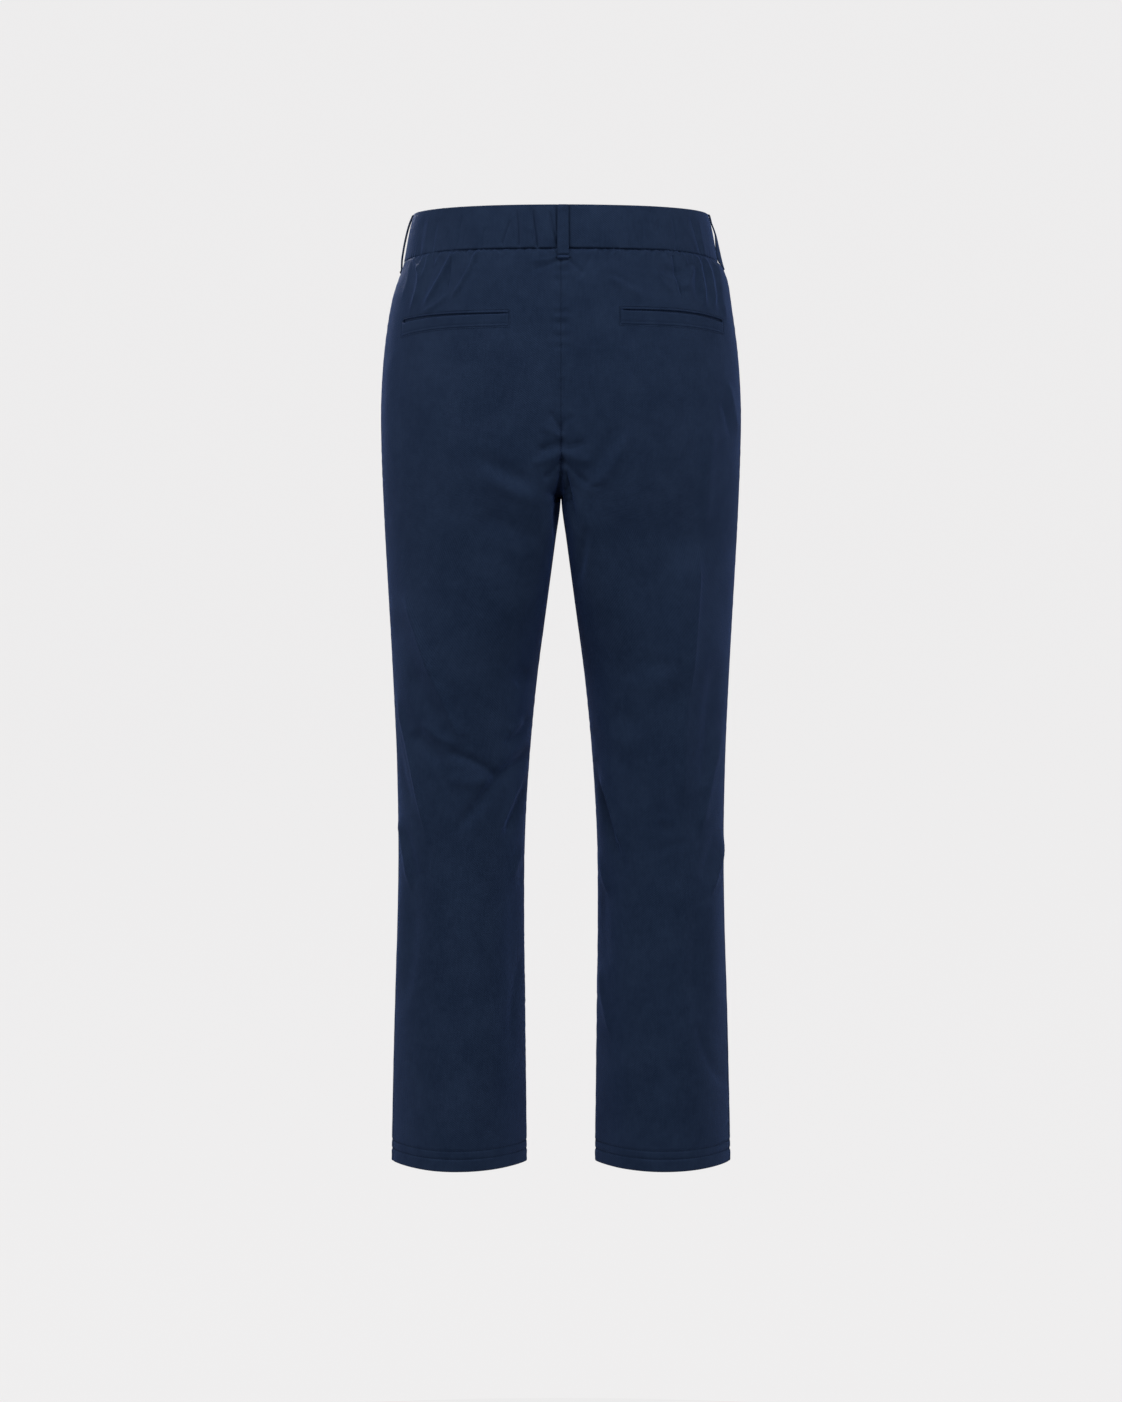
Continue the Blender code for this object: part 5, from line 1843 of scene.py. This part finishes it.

# %% [markdown]
# ## How much cloth each piece is cut from
#
# Each piece of cloth is listed with the flat size of its cut: width, length, how it is held, what it
# rests on and, where the cut isn't a rectangle, its area. Its cloth area is printed beside its cut's.
# The elastic gathers the back waistband from a longer strip.

# %% Cuts
CUTS = (
    ("back_left", 0.300, 0.925, "hung", "waistband_back", 0.206),
    ("back_right", 0.300, 0.925, "hung", "waistband_back", 0.206),
    ("front_left", 0.300, 0.925, "hung", "waistband_front_left", 0.220),
    ("front_right", 0.300, 0.925, "hung", "waistband_front_right", 0.220),
    ("waistband_back", 0.043, 0.455, "gathered", "", None),
    ("waistband_front_left", 0.043, 0.232, "stretched", "", None),
    ("waistband_front_right", 0.043, 0.242, "stretched", "", None),
    ("seat_seam", 0.030, 0.330, "folded", "back_left", None),
    ("waist_seam", 0.010, 0.450, "folded", "waistband_back", None),
    ("hem_left", 0.021, 0.425, "folded", "back_left", None),
    ("hem_right", 0.021, 0.425, "folded", "back_right", None),
    ("belt_loop_back", 0.0105, 0.058, "stretched", "waistband_back", None),
    ("belt_loop_left", 0.0105, 0.058, "stretched", "waistband_back", None),
    ("belt_loop_right", 0.0105, 0.058, "stretched", "waistband_back", None),
    ("belt_loop_front_left", 0.0105, 0.058, "stretched", "waistband_front_left", None),
    ("belt_loop_front_right", 0.0105, 0.058, "stretched", "waistband_front_right", None),
    ("welt_left", 0.015, 0.1245, "folded", "back_left", None),
    ("welt_right", 0.015, 0.1222, "folded", "back_right", None),
    ("lip_left", 0.010, 0.1245, "folded", "back_left", 0.0006),
    ("lip_right", 0.010, 0.1222, "folded", "back_right", 0.0006),
    ("fly_flap", 0.039, 0.165, "hung", "waistband_front_right", 0.0062),
    ("fly_shield", 0.033, 0.155, "hung", "waistband_front_left", 0.0049),
)
for name, width, length, held, rests, area in CUTS:
    piece = bpy.data.objects[f"cloth_{name}"]
    faces = np.empty(len(piece.data.polygons))
    piece.data.polygons.foreach_get("area", faces)
    cloth_area = round(float(faces.sum()) / 2, 5)
    print(piece.name, "cloth", cloth_area, "m2 of", round(area or width * length, 5))

# %% [markdown]
# ## A pale studio
#
# The picture has an even pale ground. A wide floor that curves up into a wall all round gives that
# from any side. It glows by itself, so it stays even, and neither lights nor shades the trousers. The
# world lights them softly, and more from the camera's side than from behind. One broad lamp above the
# camera shapes the seat, one at each side lights the edges, and one lights the front.

# %% Floor and wall
FLOOR = -1.55
FLOOR_FLAT = 3.2
WALL_AT = 7.0
WALL_TOP = 7.0
COVE_STEPS = 16
GROUND = (0.838, 0.830, 0.832, 1.0)
GLOW = 1.0
AMBIENT_BEHIND = 0.10  # towards -Y, behind the trousers as the picture shows them
AMBIENT_AHEAD = 0.70
COVE_SIDES = 96
BLACK = (0.02, 0.02, 0.02, 1.0)

bend = WALL_AT - FLOOR_FLAT
profile = [(FLOOR_FLAT * share, FLOOR) for share in (0.0, 0.5, 1.0)]
for turn in np.linspace(0.0, math.pi / 2, COVE_STEPS + 1)[1:]:
    profile.append((FLOOR_FLAT + bend * math.sin(turn), FLOOR + bend * (1 - math.cos(turn))))
profile.append((WALL_AT, WALL_TOP))
turns = np.linspace(0.0, 2 * math.pi, COVE_SIDES, endpoint=False)
circle = np.column_stack([np.cos(turns), np.sin(turns), np.zeros(COVE_SIDES)])
rings = [radius * circle + (0.0, 0.0, height) for radius, height in profile[1:]]
vertices = np.concatenate(rings + [[[0.0, 0.0, FLOOR]]])
faces = [list(reversed(face)) for face in quads(len(rings), COVE_SIDES, 0, True, False)]
pole = len(vertices) - 1
faces += [[pole, number, (number + 1) % COVE_SIDES] for number in range(COVE_SIDES)]
mesh = bpy.data.meshes.new("studio_floor")
mesh.from_pydata(vertices.tolist(), [], faces)
mesh.shade_smooth()
studio = put("studio_floor", mesh)
studio.visible_diffuse = studio.visible_glossy = studio.visible_shadow = False

paper, wire, shader = new_finish("pale_paper")
place = wire.coordinates("Object")
fleck = place.noise(6.0, 2.0, 0.5)
shade = fleck.between(tuple(value * 0.998 for value in GROUND[:3]) + (1.0,), GROUND)
fill(shader, {
    "Emission Color": shade,
    "Emission Strength": GLOW,
    "Base Color": BLACK,
    "Roughness": 1.0,
    "Specular IOR Level": 0.0,
})
mesh.materials.append(paper)

world = bpy.data.worlds.new("studio")
world.use_nodes = True
sky = Wire(world.node_tree)
toward = sky.node("SeparateXYZ", {}, {"Vector": sky.coordinates("Generated")}, "Y")
strength = toward * ((AMBIENT_AHEAD - AMBIENT_BEHIND) / 2) + (AMBIENT_AHEAD + AMBIENT_BEHIND) / 2
fill(world.node_tree.nodes["Background"], {"Color": GROUND, "Strength": strength})
bpy.context.scene.world = world
bpy.context.scene.view_settings.view_transform = "Standard"

# %% Lamps
AIM = (0.0, 0.0, -0.10)
Lamp = namedtuple("Lamp", "name place size power")
LAMPS = (
    Lamp("lamp_above", (-0.3, 2.6, 3.0), 1.8, 97.0),
    Lamp("lamp_left", (3.4, 1.7, 1.25), 2.2, 96.0),
    Lamp("lamp_right", (-3.4, 1.9, 1.25), 2.2, 76.0),
    Lamp("lamp_front", (0.8, -3.6, 2.2), 2.4, 170.0),
)
for lamp in LAMPS:
    light = bpy.data.lights.new(lamp.name, "AREA")
    light.size = lamp.size
    light.energy = lamp.power
    lit = put(lamp.name, light)
    lit.location = lamp.place
    aim = np.subtract(AIM, lamp.place)
    flat = math.hypot(aim[0], aim[1])
    lit.rotation_euler = (math.atan2(flat, -aim[2]), 0.0, math.atan2(aim[1], aim[0]) - math.pi / 2)
    lit.visible_camera = False
